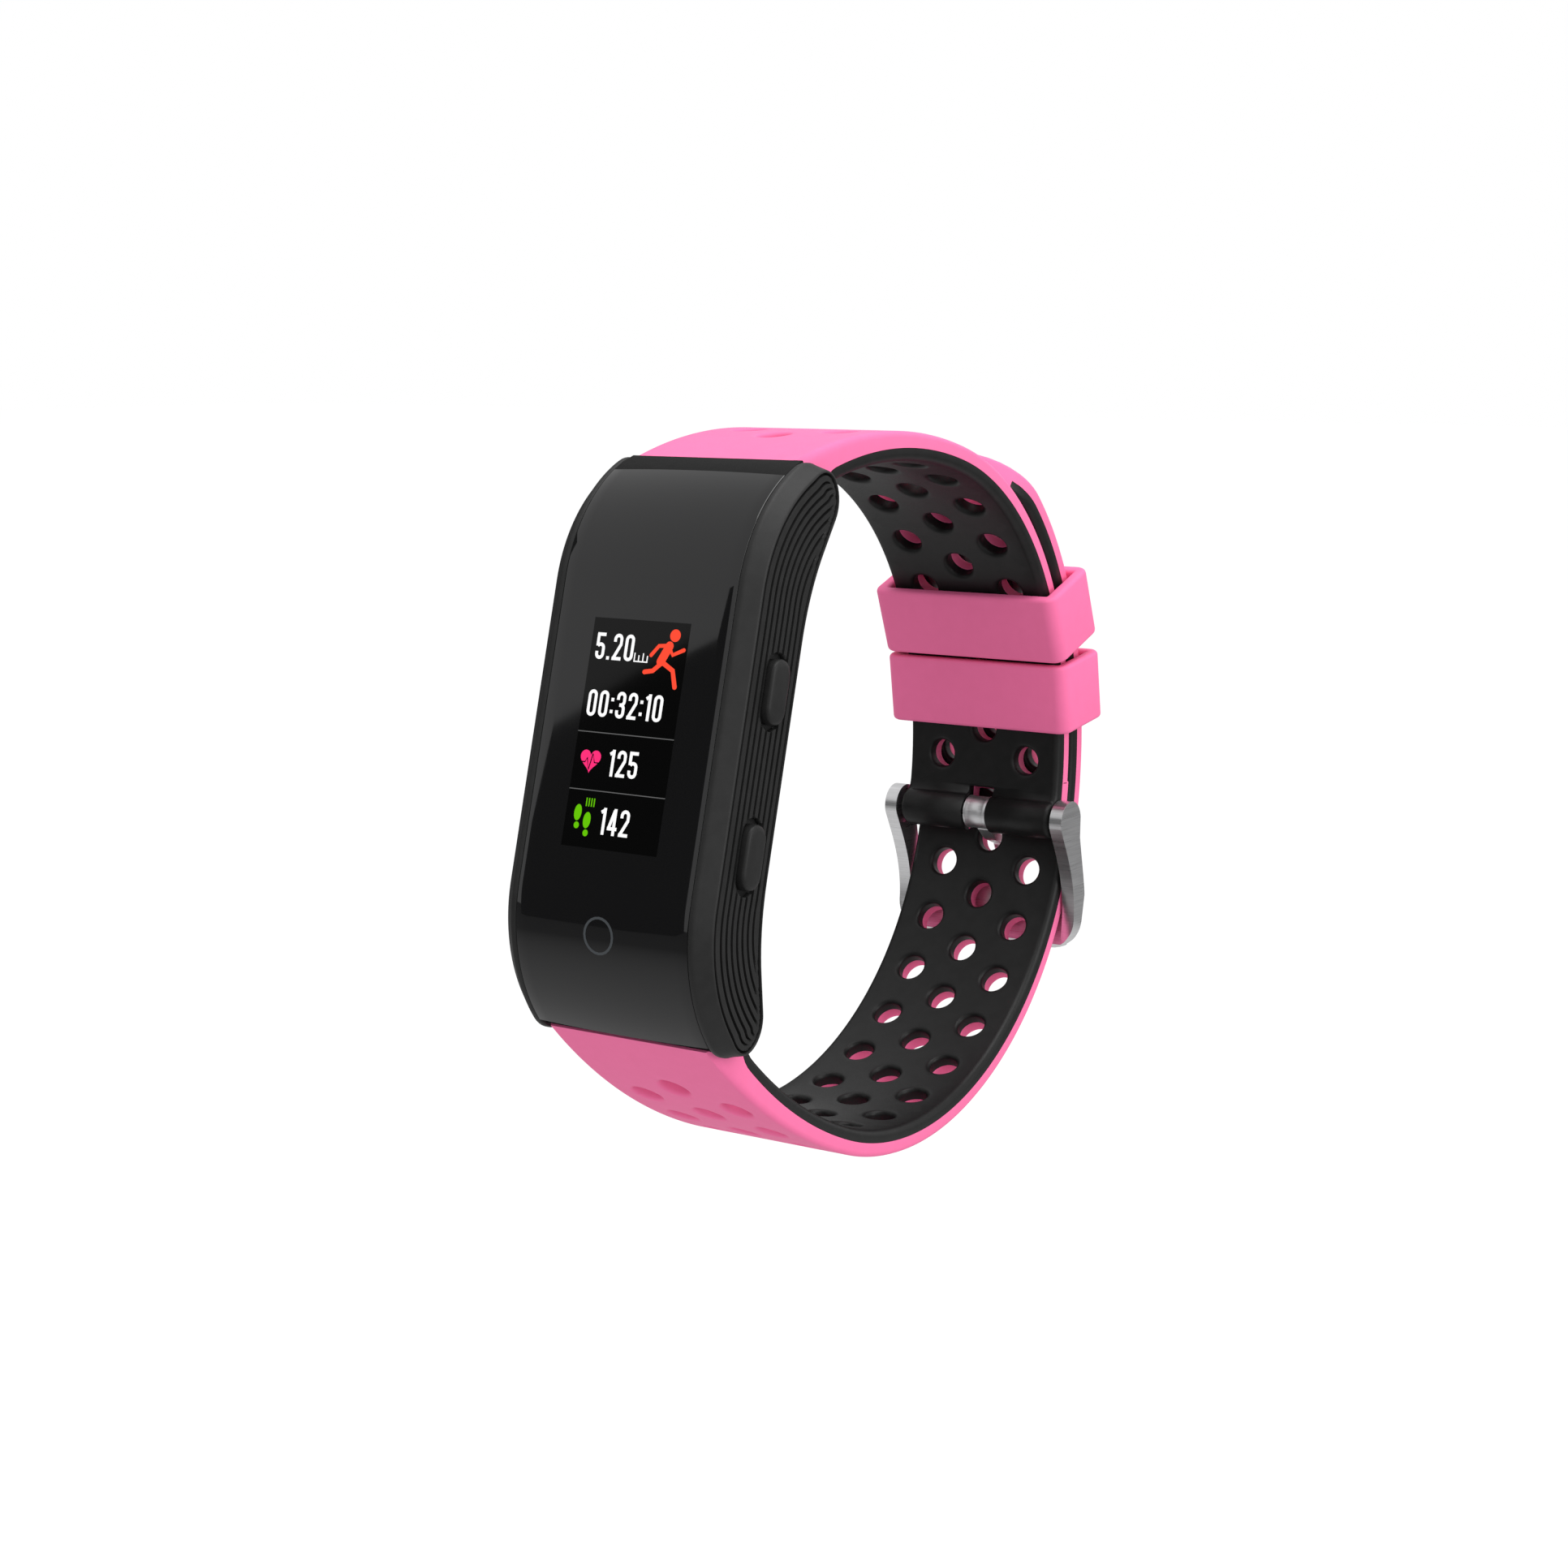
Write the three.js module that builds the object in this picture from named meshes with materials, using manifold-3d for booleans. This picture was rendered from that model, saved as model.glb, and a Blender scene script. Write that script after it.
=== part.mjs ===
// A fitness tracker band, buckled round a wrist: a slim case with a curved glass, two side buttons
// and ribbed side trims, on a two-colour silicone strap with a pin buckle and two sliding keepers.
// Millimetres. X runs across the strap. The side outlines are drawn in the Y-Z plane of the case,
// with the display facing -Y and its long side along Z, and the whole band then leans back by LEAN.
import * as THREE from "three";
import { mergeVertices } from "three/addons/utils/BufferGeometryUtils.js";
import Module from "manifold-3d";

const wasm = await Module();
wasm.setup();

// ---- driving dimensions -------------------------------------------------------------------------
const LEAN = 15.1; // degrees the case leans back, top away from the viewer
const WRIST_CENTRE = [11, 0.5]; // y, z of the middle of the wrist opening, which becomes the origin
const CASE_RISE = 0.8; // the case's middle above the level of the wrist circle's reference

const STRAP_HALF = 9; // half of an 18 mm strap
const BLACK = 1.2; // inner layer
const PINK = 1.4; // outer layer
const STRAP = BLACK + PINK;
const LAYER_GAP = 0.1;
const LAP_GAP = 0.25; // between the upper half and the tail that lies over it
const ARC_STEP = 5; // degrees per facet of a strap curve

const CASE_HALF = 11.2;
const CHEEK_INNER = 9.3;
const CHAMFER_ACROSS = 1.3;
const CHAMFER_DEEP = 1.15;
const FRONT = -25.55; // y of the flat middle of the case front
const FRONT_BEND = 15.2; // radius that rolls the front over at each end
const BEND_AT = 13.6; // z where that roll starts, either side of the middle
const REAR = -17.05;
const LOBE = 3.3; // radius of the case's rounded ends
const LENS_HALF = 9.15;
const LENS_THICK = 1;
const END_WALL = [[-18.9, 25.8], [-14.9, 20.8]]; // y, |z| of the wall that each strap end meets

const TRIM_THICK = 0.7;
const BUTTON_Y = -20.4;
const BUTTON_Z = [5.6, -8.8]; // upper and lower, from the case's middle
const BUTTON_LONG = 5.8;
const BUTTON_WIDE = 2.8;
const BUTTON_PROUD = 0.65;

const COVER_HALF_X = 8.9;
const COVER_HALF_Z = 13.4;
const COVER_THICK = 1.05;
const SCREW_X = 7.2;
const SCREW_Z = 12.4;
const WINDOW_RADIUS = 4;
const WINDOW_FACE = -16.2;
const CONTACT_X = 3;
const CONTACT_Z = 9.6;
const MOTOR_Z = -6.9;
const LUG_PIN = [-15.7, 24.1]; // y, |z| of the bar through each strap end
const LUG_RADIUS = 0.6;

const HOLE_RADIUS = 1.5;
const HOLE_X = 5.04; // the outer hole columns
const ROW_PITCH = 6.19;

const PIN_AT = [38.25, 1.9]; // y, z of the buckle's pin
const PIN_RADIUS = 0.75;
const PIN_BORE = 0.95;
const TUBE_RADIUS = 2;
const SLOT_HALF = 1.55;
const SLOT_TOP = 4.6;
const TONGUE_HALF = 1.4;
const PRONG_HALF = 0.75;
const BUCKLE_INNER = 9.3;
const BUCKLE_HALF = 10.7;
const PLATE_HALF = 10.6;

const KEEPER_HALF = 10.75;
const KEEPER_WALL = 1.3;
const KEEPER_TALL = 7.2;
const KEEPER_SLACK = 0.15;

// The strap follows three circles: the shoulder, the flatter stretch under the keepers and the long
// lower round. Each next centre lies on the line through the joint, so the curve has no corner.
const SHOULDER = { centre: [9.27, 5.78], radius: 26.5 };
const LAP = { centre: [0.3, -0.5], radius: 37.45 };
const LAP_JOINT = 35; // degrees round from +Y where the shoulder meets the lap
const ROUND_RADIUS = 30.7;
const TAIL_SHIFT = STRAP + LAP_GAP;
const ROUND = {
  centre: [LAP.centre[0] + LAP.radius + TAIL_SHIFT - ROUND_RADIUS, LAP.centre[1]],
  radius: ROUND_RADIUS,
};
const ROUND_END = -96.5;
const TIP_ANGLE = 74;
const TIP_RADIUS = 7; // of the tail's rounded corners
const TIP_LEAN = 6; // degrees between the tip's corner cuts and the curve's end

// Where the layers stop near the case, in degrees round their own circles.
const UPPER_CROWN_END = 121.2;
const UPPER_SEAM_END = 118;
const UPPER_INNER_END = 117.2;
const LOWER_CROWN_END = -120.1;
const LOWER_SEAM_END = -117.4;
const LOWER_INNER_END = -116.4;
const CHAIN_END = 120; // the hole rows are measured along the run this far

// Towards the case each half straightens, and its outer layer thickens into the end block.
const along = (circle, radius, angle) => [
  circle.centre[0] - (radius - circle.radius) * Math.cos(THREE.MathUtils.degToRad(angle)),
  circle.centre[1] - (radius - circle.radius) * Math.sin(THREE.MathUtils.degToRad(angle)),
];
const UPPER_RUN = { centre: along(SHOULDER, 44, 90), radius: 44 };
const UPPER_CROWN = { centre: along(SHOULDER, 53.85 - STRAP, 90), radius: 53.85 };
const LOWER_RUN = { centre: along(ROUND, 50, ROUND_END), radius: 50 };
const LOWER_CROWN = { centre: along(ROUND, 63.2 - STRAP, ROUND_END), radius: 63.2 };

// ---- materials ----------------------------------------------------------------------------------
const finish = (color, roughness, metalness = 0) =>
  new THREE.MeshStandardMaterial({ color, roughness, metalness });
const pinkSilicone = finish(0xff7bb5, 0.6);
const blackSilicone = finish(0x232323, 0.55);
const blackPlastic = finish(0x2b2b2c, 0.5);
const blackGlass = finish(0x0b0b0c, 0.08);
const steel = finish(0xc9cbcc, 0.28, 1);
const rubberSeal = finish(0x161616, 0.8);
const greenBoard = finish(0x14532d, 0.5);
const foil = finish(0xb8bcc2, 0.4, 0.6);
const gold = finish(0xd9ae4e, 0.3, 1);

// ---- geometry helpers ---------------------------------------------------------------------------
const toRadians = THREE.MathUtils.degToRad;
const shiftOut = (circle, by) => ({ centre: circle.centre, radius: circle.radius + by });

function onCircle({ centre, radius }, angle) {
  return new THREE.Vector2(
    centre[0] + radius * Math.cos(toRadians(angle)),
    centre[1] + radius * Math.sin(toRadians(angle)),
  );
}

function arc(circle, from, to, step = ARC_STEP) {
  const count = Math.max(1, Math.ceil(Math.abs(to - from) / step));
  return Array.from({ length: count + 1 }, (_, i) => onCircle(circle, from + ((to - from) * i) / count));
}

const circlePoints = (centre, radius, sides) => arc({ centre, radius }, 0, 360 - 360 / sides, 360 / sides);
const points = (...pairs) => pairs.map(([y, z]) => new THREE.Vector2(y, z));

// Turns a drawing in Y-Z into a solid that runs from x0 to x1.
const SIDE_VIEW = new THREE.Matrix4().makeBasis(
  new THREE.Vector3(0, 1, 0),
  new THREE.Vector3(0, 0, 1),
  new THREE.Vector3(1, 0, 0),
);
function prism(outline, x0, x1, bevel = {}) {
  const shape = new THREE.Shape(outline);
  const geometry = new THREE.ExtrudeGeometry(shape, { depth: x1 - x0, bevelEnabled: false, ...bevel });
  return geometry.applyMatrix4(SIDE_VIEW).translate(x0, 0, 0);
}

const box = (x0, x1, y0, y1, z0, z1) =>
  new THREE.BoxGeometry(x1 - x0, y1 - y0, z1 - z0).translate((x0 + x1) / 2, (y0 + y1) / 2, (z0 + z1) / 2);

// A disc or rod whose axis runs along Y, from y0 to y1.
const rod = (radius, y0, y1, x, z, sides = 12) =>
  new THREE.CylinderGeometry(radius, radius, y1 - y0, sides).translate(x, (y0 + y1) / 2, z);

function toSolid(geometry) {
  const bare = geometry.clone();
  bare.deleteAttribute("normal");
  bare.deleteAttribute("uv");
  const merged = mergeVertices(bare, 1e-4);
  return new wasm.Manifold(
    new wasm.Mesh({
      numProp: 3,
      vertProperties: merged.attributes.position.array,
      triVerts: new Uint32Array(merged.index.array),
    }),
  );
}

function toGeometry(solid) {
  const { vertProperties, triVerts } = solid.getMesh();
  const geometry = new THREE.BufferGeometry();
  geometry.setAttribute("position", new THREE.BufferAttribute(vertProperties, 3));
  geometry.setIndex(new THREE.BufferAttribute(triVerts, 1));
  geometry.computeVertexNormals();
  return geometry;
}

const cut = (base, ...tools) =>
  toGeometry(tools.reduce((left, tool) => left.subtract(toSolid(tool)), toSolid(base)));
const join = (base, ...more) => toGeometry(more.reduce((sum, part) => sum.add(toSolid(part)), toSolid(base)));
const common = (a, b) => toGeometry(toSolid(a).intersect(toSolid(b)));

// ---- the scene graph ----------------------------------------------------------------------------
const band = new THREE.Group();
band.rotation.x = -toRadians(LEAN);
const loop = new THREE.Group();
loop.position.set(0, -WRIST_CENTRE[0], -WRIST_CENTRE[1]);
band.add(loop);
const tracker = new THREE.Group();
tracker.position.z = CASE_RISE;
loop.add(tracker);

function place(parent, name, geometry, material) {
  const mesh = new THREE.Mesh(geometry, material);
  mesh.name = name;
  parent.add(mesh);
}

// ---- the case -----------------------------------------------------------------------------------
// Half of the case's side outline, from the front's middle round the end to the rear's middle.
const LOBE_LEAN = new THREE.Vector2(-0.62, 0.785).normalize(); // from the bend's centre to the lobe's
const LOBE_SLOPE = new THREE.Vector2(0.944, -0.33).normalize(); // normal of the rear of the lobe
function halfOutline(inset, lobe, rear) {
  const bend = { centre: [FRONT + FRONT_BEND, BEND_AT], radius: FRONT_BEND - inset };
  const lobeAt = new THREE.Vector2(...bend.centre).addScaledVector(LOBE_LEAN, bend.radius - lobe);
  const joint = THREE.MathUtils.radToDeg(LOBE_LEAN.angle());
  const back = THREE.MathUtils.radToDeg(LOBE_SLOPE.angle()) - 360;
  const heel = lobeAt.clone().addScaledVector(LOBE_SLOPE, lobe);
  const slide = new THREE.Vector2(LOBE_SLOPE.y, -LOBE_SLOPE.x);
  const corner = heel.clone().addScaledVector(slide, (rear - heel.x) / slide.x);
  const sweep = new THREE.QuadraticBezierCurve(
    heel.clone().addScaledVector(slide, 3.4),
    corner,
    new THREE.Vector2(rear, corner.y - 4.4),
  );
  return [
    ...arc(bend, 180, joint, 6),
    ...arc({ centre: lobeAt.toArray(), radius: lobe }, joint, back, 20).slice(1),
    ...sweep.getPoints(4),
  ];
}
function outline(inset, lobe, rear) {
  const upper = halfOutline(inset, lobe, rear);
  const lower = upper.map(({ x, y }) => new THREE.Vector2(x, -y)).reverse();
  return [...upper, ...lower];
}
const caseOutline = outline(0, LOBE, REAR);
const trimOutline = outline(1.35, 2.6, REAR - 0.35);

function endWallCut(side) {
  const [[y0, z0], [y1, z1]] = END_WALL;
  const reach = 3;
  const run = points(
    [y0 - (y1 - y0), z0 + (z0 - z1)],
    [y1 + (y1 - y0), z1 - (z0 - z1)],
    [y1 + (y1 - y0) + reach * 4, z1 + reach * 2],
    [y0, z0 + reach * 3],
  );
  const turned = run.map(({ x, y }) => new THREE.Vector2(x, y * side));
  return prism(side > 0 ? turned : turned.reverse(), -CHEEK_INNER, CHEEK_INNER);
}

const bendCircle = (side, inset) => ({
  centre: [FRONT + FRONT_BEND, side * BEND_AT],
  radius: FRONT_BEND - inset,
});
const LENS_TOP = 134.5; // degrees round the upper bend
const LENS_BOTTOM = 232; // degrees round the lower bend
const lensCurve = (inset, past = 0) => [
  ...arc(bendCircle(1, inset), LENS_TOP - past, 180, 6),
  ...arc(bendCircle(-1, inset), 180, LENS_BOTTOM + past, 6),
];

function obround(y, z, wide, long, grow = 0) {
  const radius = wide / 2 + grow;
  const half = (long - wide) / 2;
  return [
    ...arc({ centre: [y, z + half], radius }, 0, 180, 30),
    ...arc({ centre: [y, z - half], radius }, 180, 360, 30),
  ];
}

const CHAMFERED_POINTS = 12; // of the half outline: the front bend and the start of the lobe
function makeMidCase() {
  const frontAndBeyond = [...halfOutline(0, LOBE, REAR).slice(0, CHAMFERED_POINTS), new THREE.Vector2(-8, 26)];
  const mirrored = frontAndBeyond.map(({ x, y }) => new THREE.Vector2(x, -y)).reverse();
  const straight = CASE_HALF - CHAMFER_ACROSS;
  const chamfered = prism([...frontAndBeyond, ...mirrored], -straight, straight, {
    bevelEnabled: true,
    bevelThickness: CHAMFER_ACROSS,
    bevelSize: CHAMFER_DEEP,
    bevelOffset: -CHAMFER_DEEP,
    bevelSegments: 1,
  });
  const block = common(prism(caseOutline, -CASE_HALF, CASE_HALF), chamfered);
  const pocket = [...lensCurve(LENS_THICK + 0.1, 0.6), ...lensCurve(-2, 0.6).reverse()];
  const cavity = points(
    [-24.9, 12.5], [-23, 18.3], [-20.5, 19.8], [-19.7, 18.5], [-19.7, 11], [-18, 11],
    [-18, -11], [-19.7, -11], [-19.7, -18.5], [-20.5, -19.8], [-23, -18.3], [-24.9, -12.5],
  );
  const trimRecess = CASE_HALF - TRIM_THICK - 0.1;
  const recess = outline(1.25, 2.7, REAR - 0.25);
  const tools = [
    prism(pocket.reverse(), -CHEEK_INNER, CHEEK_INNER),
    prism(cavity.reverse(), -8.5, 8.5),
    box(-COVER_HALF_X - 0.15, COVER_HALF_X + 0.15, -18.5, -12, -COVER_HALF_Z - 0.15, COVER_HALF_Z + 0.15),
    endWallCut(1),
    endWallCut(-1),
    prism(recess, trimRecess, CASE_HALF + 1),
    prism(recess, -CASE_HALF - 1, -trimRecess),
  ];
  for (const z of BUTTON_Z) {
    tools.push(prism(obround(BUTTON_Y, z, BUTTON_WIDE, BUTTON_LONG, 0.2), 9.6, CASE_HALF));
    tools.push(prism(circlePoints([BUTTON_Y, z], 0.85, 10), 8, 10));
  }
  for (const x of [-SCREW_X, SCREW_X]) {
    for (const z of [-SCREW_Z, SCREW_Z]) tools.push(rod(0.6, -20, -18, x, z, 8));
  }
  for (const side of [-1, 1]) {
    tools.push(prism(circlePoints([LUG_PIN[0], side * LUG_PIN[1]], LUG_RADIUS + 0.1, 8), -10.35, 10.35));
  }
  return cut(block, ...tools);
}

function makeLens() {
  const curve = [...lensCurve(-0.05), ...lensCurve(LENS_THICK).reverse()];
  return prism(curve, -LENS_HALF, LENS_HALF);
}

function makeTrim(side) {
  const from = side > 0 ? CASE_HALF - TRIM_THICK : -CASE_HALF;
  const plate = prism(trimOutline, from, from + TRIM_THICK);
  if (side < 0) return plate;
  const openings = BUTTON_Z.map((z) =>
    prism(obround(BUTTON_Y, z, BUTTON_WIDE, BUTTON_LONG, 0.2), from - 1, CASE_HALF + 1),
  );
  return cut(plate, ...openings);
}

function makeButton(z) {
  const under = 10.35;
  const cap = prism(obround(BUTTON_Y, z, BUTTON_WIDE, BUTTON_LONG), under, CASE_HALF + BUTTON_PROUD);
  const stem = prism(circlePoints([BUTTON_Y, z], 0.6, 10), 8.75, under + 0.5);
  return join(cap, stem);
}

function makeButtonSeal(z) {
  const ring = prism(circlePoints([BUTTON_Y, z], 1.2, 12), 9.65, 9.65 + 0.27);
  return cut(ring, prism(circlePoints([BUTTON_Y, z], 0.75, 12), 9, 11));
}

function makeRearCover() {
  const inner = REAR - COVER_THICK;
  const plate = box(-COVER_HALF_X, COVER_HALF_X, inner, REAR, -COVER_HALF_Z, COVER_HALF_Z);
  const tools = [rod(WINDOW_RADIUS + 0.15, inner - 1, REAR + 1, 0, 0, 24)];
  for (const x of [-CONTACT_X, CONTACT_X]) tools.push(rod(1.05, inner - 1, REAR + 1, x, CONTACT_Z));
  for (const x of [-SCREW_X, SCREW_X]) {
    for (const z of [-SCREW_Z, SCREW_Z]) {
      tools.push(rod(0.6, inner - 1, REAR + 1, x, z, 8));
      tools.push(rod(0.95, REAR - 0.5, REAR + 1, x, z));
    }
  }
  return cut(plate, ...tools);
}

const makeScrew = (x, z) =>
  join(rod(0.85, REAR - 0.45, REAR - 0.05, x, z), rod(0.5, REAR - 2.4, REAR - 0.3, x, z, 8));

function makeRearSeal() {
  const outer = box(-8.8, 8.8, -18.4, -18.17, -11.6, 11.6);
  return cut(outer, box(-8.55, 8.55, -19, -17, -11.1, 11.1));
}

function makeMotorHousing() {
  const cup = rod(3.8, -21, -19.05, 0, MOTOR_Z, 20);
  const well = cut(cup, rod(3.5, -20.8, -18, 0, MOTOR_Z, 20));
  return join(well, rod(0.4, -20.9, -19.2, 0, MOTOR_Z, 8));
}

function makeMotorRotor() {
  const disc = rod(3.2, -20.6, -19.3, 0, MOTOR_Z, 20);
  return cut(disc, rod(0.55, -22, -18, 0, MOTOR_Z, 12), box(-5, 5, -22, -18, MOTOR_Z + 0.9, MOTOR_Z + 6));
}

function makeDisplayBracket() {
  const plate = box(-6.6, 6.6, -22.95, -22.25, -17, 17);
  return cut(plate, box(-4.4, 4.4, -24, -21, -9, 9));
}

place(tracker, "mid_case", makeMidCase(), blackPlastic);
place(tracker, "front_lens", makeLens(), blackGlass);
place(tracker, "side_trim_right", makeTrim(1), blackPlastic);
place(tracker, "side_trim_left", makeTrim(-1), blackPlastic);
place(tracker, "rear_cover", makeRearCover(), blackPlastic);
place(tracker, "rear_seal", makeRearSeal(), rubberSeal);
place(tracker, "sensor_window", rod(WINDOW_RADIUS, -18.05, WINDOW_FACE, 0, 0, 24), blackGlass);
place(tracker, "sensor_board", box(-5, 5, -18.95, -18.45, -4.5, 4.5), greenBoard);
place(tracker, "display_panel", box(-5.9, 5.9, -24.4, -23.1, -11.9, 11.9), blackGlass);
place(tracker, "display_bracket", makeDisplayBracket(), blackPlastic);
place(tracker, "main_board", box(-6.6, 6.6, -22.1, -21.3, -17, 17), greenBoard);
place(tracker, "battery", box(-6.5, 6.5, -21.1, -19.2, -2.7, 10.4), foil);
place(tracker, "motor_housing", makeMotorHousing(), foil);
place(tracker, "motor_rotor", makeMotorRotor(), steel);
[["upper", BUTTON_Z[0]], ["lower", BUTTON_Z[1]]].forEach(([level, z]) => {
  place(tracker, `${level}_button`, makeButton(z), blackPlastic);
  place(tracker, `${level}_button_seal`, makeButtonSeal(z), rubberSeal);
  const tactile = box(6.95, 8.35, BUTTON_Y - 0.7, BUTTON_Y + 1, z - 1.5, z + 1.5);
  place(tracker, `${level}_button_switch`, tactile, steel);
});
[-1, 1].forEach((sideX) => {
  const hand = sideX < 0 ? "left" : "right";
  place(tracker, `charging_contact_${hand}`, rod(0.9, -18.4, REAR + 0.08, sideX * CONTACT_X, CONTACT_Z), gold);
  [-1, 1].forEach((sideZ) => {
    const level = sideZ < 0 ? "lower" : "upper";
    place(tracker, `rear_screw_${level}_${hand}`, makeScrew(sideX * SCREW_X, sideZ * SCREW_Z), steel);
  });
});
[["upper", 1], ["lower", -1]].forEach(([level, side]) => {
  const pin = prism(circlePoints([LUG_PIN[0], side * LUG_PIN[1]], LUG_RADIUS, 8), -10.2, 10.2);
  place(tracker, `${level}_lug_pin`, pin, steel);
});

// ---- the strap ----------------------------------------------------------------------------------
const angleAtHeight = (circle, z) =>
  THREE.MathUtils.radToDeg(Math.asin((z - circle.centre[1]) / circle.radius));

// The upper half as a chain of arcs from the buckle to the case, pushed out by a layer's depth.
function upperCurve(depth, lowest, end) {
  const lap = shiftOut(LAP, depth);
  return [
    ...arc(lap, angleAtHeight(lap, lowest), LAP_JOINT),
    ...arc(shiftOut(SHOULDER, depth), LAP_JOINT, 90).slice(1),
    ...arc(shiftOut(UPPER_RUN, depth), 90, end).slice(1),
  ];
}

// The lower half from the tail's tip to the case.
function lowerCurve(depth, end) {
  return [
    ...arc(shiftOut(SHOULDER, TAIL_SHIFT + depth), TIP_ANGLE, LAP_JOINT),
    ...arc(shiftOut(LAP, TAIL_SHIFT + depth), LAP_JOINT, 0).slice(1),
    ...arc(shiftOut(ROUND, depth), 0, ROUND_END).slice(1),
    ...arc(shiftOut(LOWER_RUN, depth), ROUND_END, end).slice(1),
  ];
}

// A point near the case for the upper end (side 1) or the lower end (side -1), by its |z| in the case.
const endPoint = (y, fromMiddle, side) => new THREE.Vector2(y, side * fromMiddle + CASE_RISE);

// A hole's centre and direction at a distance along the inner surface, counted from angle 0.
function station(chain, distance) {
  let left = distance;
  for (const { circle, from, to } of chain) {
    const length = circle.radius * toRadians(Math.abs(to - from));
    if (left <= length) {
      const angle = from + Math.sign(to - from) * THREE.MathUtils.radToDeg(left / circle.radius);
      return { at: onCircle(circle, angle), angle };
    }
    left -= length;
  }
  throw new Error("the strap is shorter than " + distance);
}

function holeCutter(chain, distance, x) {
  const { at, angle } = station(chain, distance);
  const cutter = new THREE.CylinderGeometry(HOLE_RADIUS, HOLE_RADIUS, 14, 6);
  return cutter.rotateX(toRadians(angle)).translate(x, at.x, at.y);
}

// Rows alternate: one hole in the middle, then a pair in the outer columns, half a pitch apart.
function holeRows(chain, first, count, pairFirst) {
  const cutters = [];
  for (let i = 0; i < count; i += 1) {
    const distance = first + (i * ROW_PITCH) / 2;
    const isPair = (i % 2 === 0) === pairFirst;
    const columns = isPair ? [-HOLE_X, HOLE_X] : [0];
    for (const x of columns) cutters.push(holeCutter(chain, distance, x));
  }
  return cutters;
}

const upperChain = [
  { circle: LAP, from: 0, to: LAP_JOINT },
  { circle: SHOULDER, from: LAP_JOINT, to: 90 },
  { circle: UPPER_RUN, from: 90, to: CHAIN_END },
];
const lowerChain = [
  { circle: shiftOut(SHOULDER, TAIL_SHIFT), from: TIP_ANGLE, to: LAP_JOINT },
  { circle: shiftOut(LAP, TAIL_SHIFT), from: LAP_JOINT, to: 0 },
  { circle: ROUND, from: 0, to: ROUND_END },
  { circle: LOWER_RUN, from: ROUND_END, to: -CHAIN_END },
];
const tailLength =
  (SHOULDER.radius + TAIL_SHIFT) * toRadians(TIP_ANGLE - LAP_JOINT) +
  (LAP.radius + TAIL_SHIFT) * toRadians(LAP_JOINT);
const TONGUE_ROW = tailLength - 0.05; // the middle hole that the tongue passes through
const TAIL_ROWS = 12; // rows between that hole and the tip
const LOWER_ROWS = 35;
const UPPER_FIRST_PAIR = 8.2; // along the inner surface from angle 0
const UPPER_ROWS = 20;

const upperHoles = holeRows(upperChain, UPPER_FIRST_PAIR, UPPER_ROWS, true);
const lowerHoles = holeRows(lowerChain, TONGUE_ROW - (TAIL_ROWS * ROW_PITCH) / 2, LOWER_ROWS, false);
const tubeCircle = { centre: PIN_AT, radius: TUBE_RADIUS };
const boreCircle = { centre: PIN_AT, radius: PIN_BORE };
const tongueSlot = box(-SLOT_HALF, SLOT_HALF, 30, 46, -1, SLOT_TOP);
const lugBore = (side) => {
  const at = endPoint(LUG_PIN[0], LUG_PIN[1], side);
  return prism(circlePoints([at.x, at.y], LUG_RADIUS + 0.15, 8), -STRAP_HALF - 1, STRAP_HALF + 1);
};

function makeUpperOuter() {
  const outline = [
    ...arc(UPPER_CROWN, UPPER_CROWN_END, 90),
    ...arc(shiftOut(SHOULDER, STRAP), 90, LAP_JOINT).slice(1),
    ...arc(shiftOut(LAP, STRAP), LAP_JOINT, angleAtHeight(shiftOut(LAP, STRAP), PIN_AT[1] + 0.6)).slice(1),
    ...arc(tubeCircle, 0, -82, 20),
    ...arc(boreCircle, -82, 78, 30),
    ...upperCurve(BLACK + LAYER_GAP, 4.4, UPPER_SEAM_END),
    endPoint(-15.3, 23, 1),
  ];
  return cut(prism(outline.reverse(), -STRAP_HALF, STRAP_HALF), tongueSlot, lugBore(1), ...upperHoles);
}

function makeUpperInner() {
  const outline = [
    ...upperCurve(0, 4.9, UPPER_INNER_END),
    endPoint(-12.6, 24.8, 1),
    endPoint(-14.1, 22.1, 1),
    endPoint(-15, 22.8, 1),
    ...upperCurve(BLACK, 4.4, UPPER_SEAM_END).reverse(),
    ...arc(boreCircle, 102, 262, 30),
    ...arc(tubeCircle, 262, 112, 20),
  ];
  return cut(prism(outline, -STRAP_HALF, STRAP_HALF), tongueSlot, ...upperHoles);
}

// Takes the corners off the tail's tip: each tool is the part of a square outside a quarter circle.
function tipCorners() {
  const beyond = TIP_RADIUS + 4;
  const corner = [
    ...arc({ centre: [0, 0], radius: TIP_RADIUS }, 0, 90, 18),
    ...points([-1, beyond], [beyond, beyond], [beyond, -1]),
  ];
  const shape = new THREE.Shape(corner);
  const tip = onCircle(shiftOut(SHOULDER, TAIL_SHIFT), TIP_ANGLE);
  const lean = toRadians(TIP_ANGLE - 90 - TIP_LEAN);
  return [1, -1].map((side) => {
    const tool = new THREE.ExtrudeGeometry(shape, { depth: 16, bevelEnabled: false }).translate(0, 0, -8);
    if (side < 0) tool.rotateZ(Math.PI / 2);
    // The drawing's Y becomes the way towards the tip, and the extrusion follows the strap's depth.
    tool.translate(side * (STRAP_HALF - TIP_RADIUS), -TIP_RADIUS, 0);
    tool.rotateZ(Math.PI);
    return tool.rotateX(lean).translate(0, tip.x, tip.y);
  });
}

function makeLowerLayer(outline) {
  return cut(prism(outline, -STRAP_HALF, STRAP_HALF), lugBore(-1), ...tipCorners(), ...lowerHoles);
}

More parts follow.
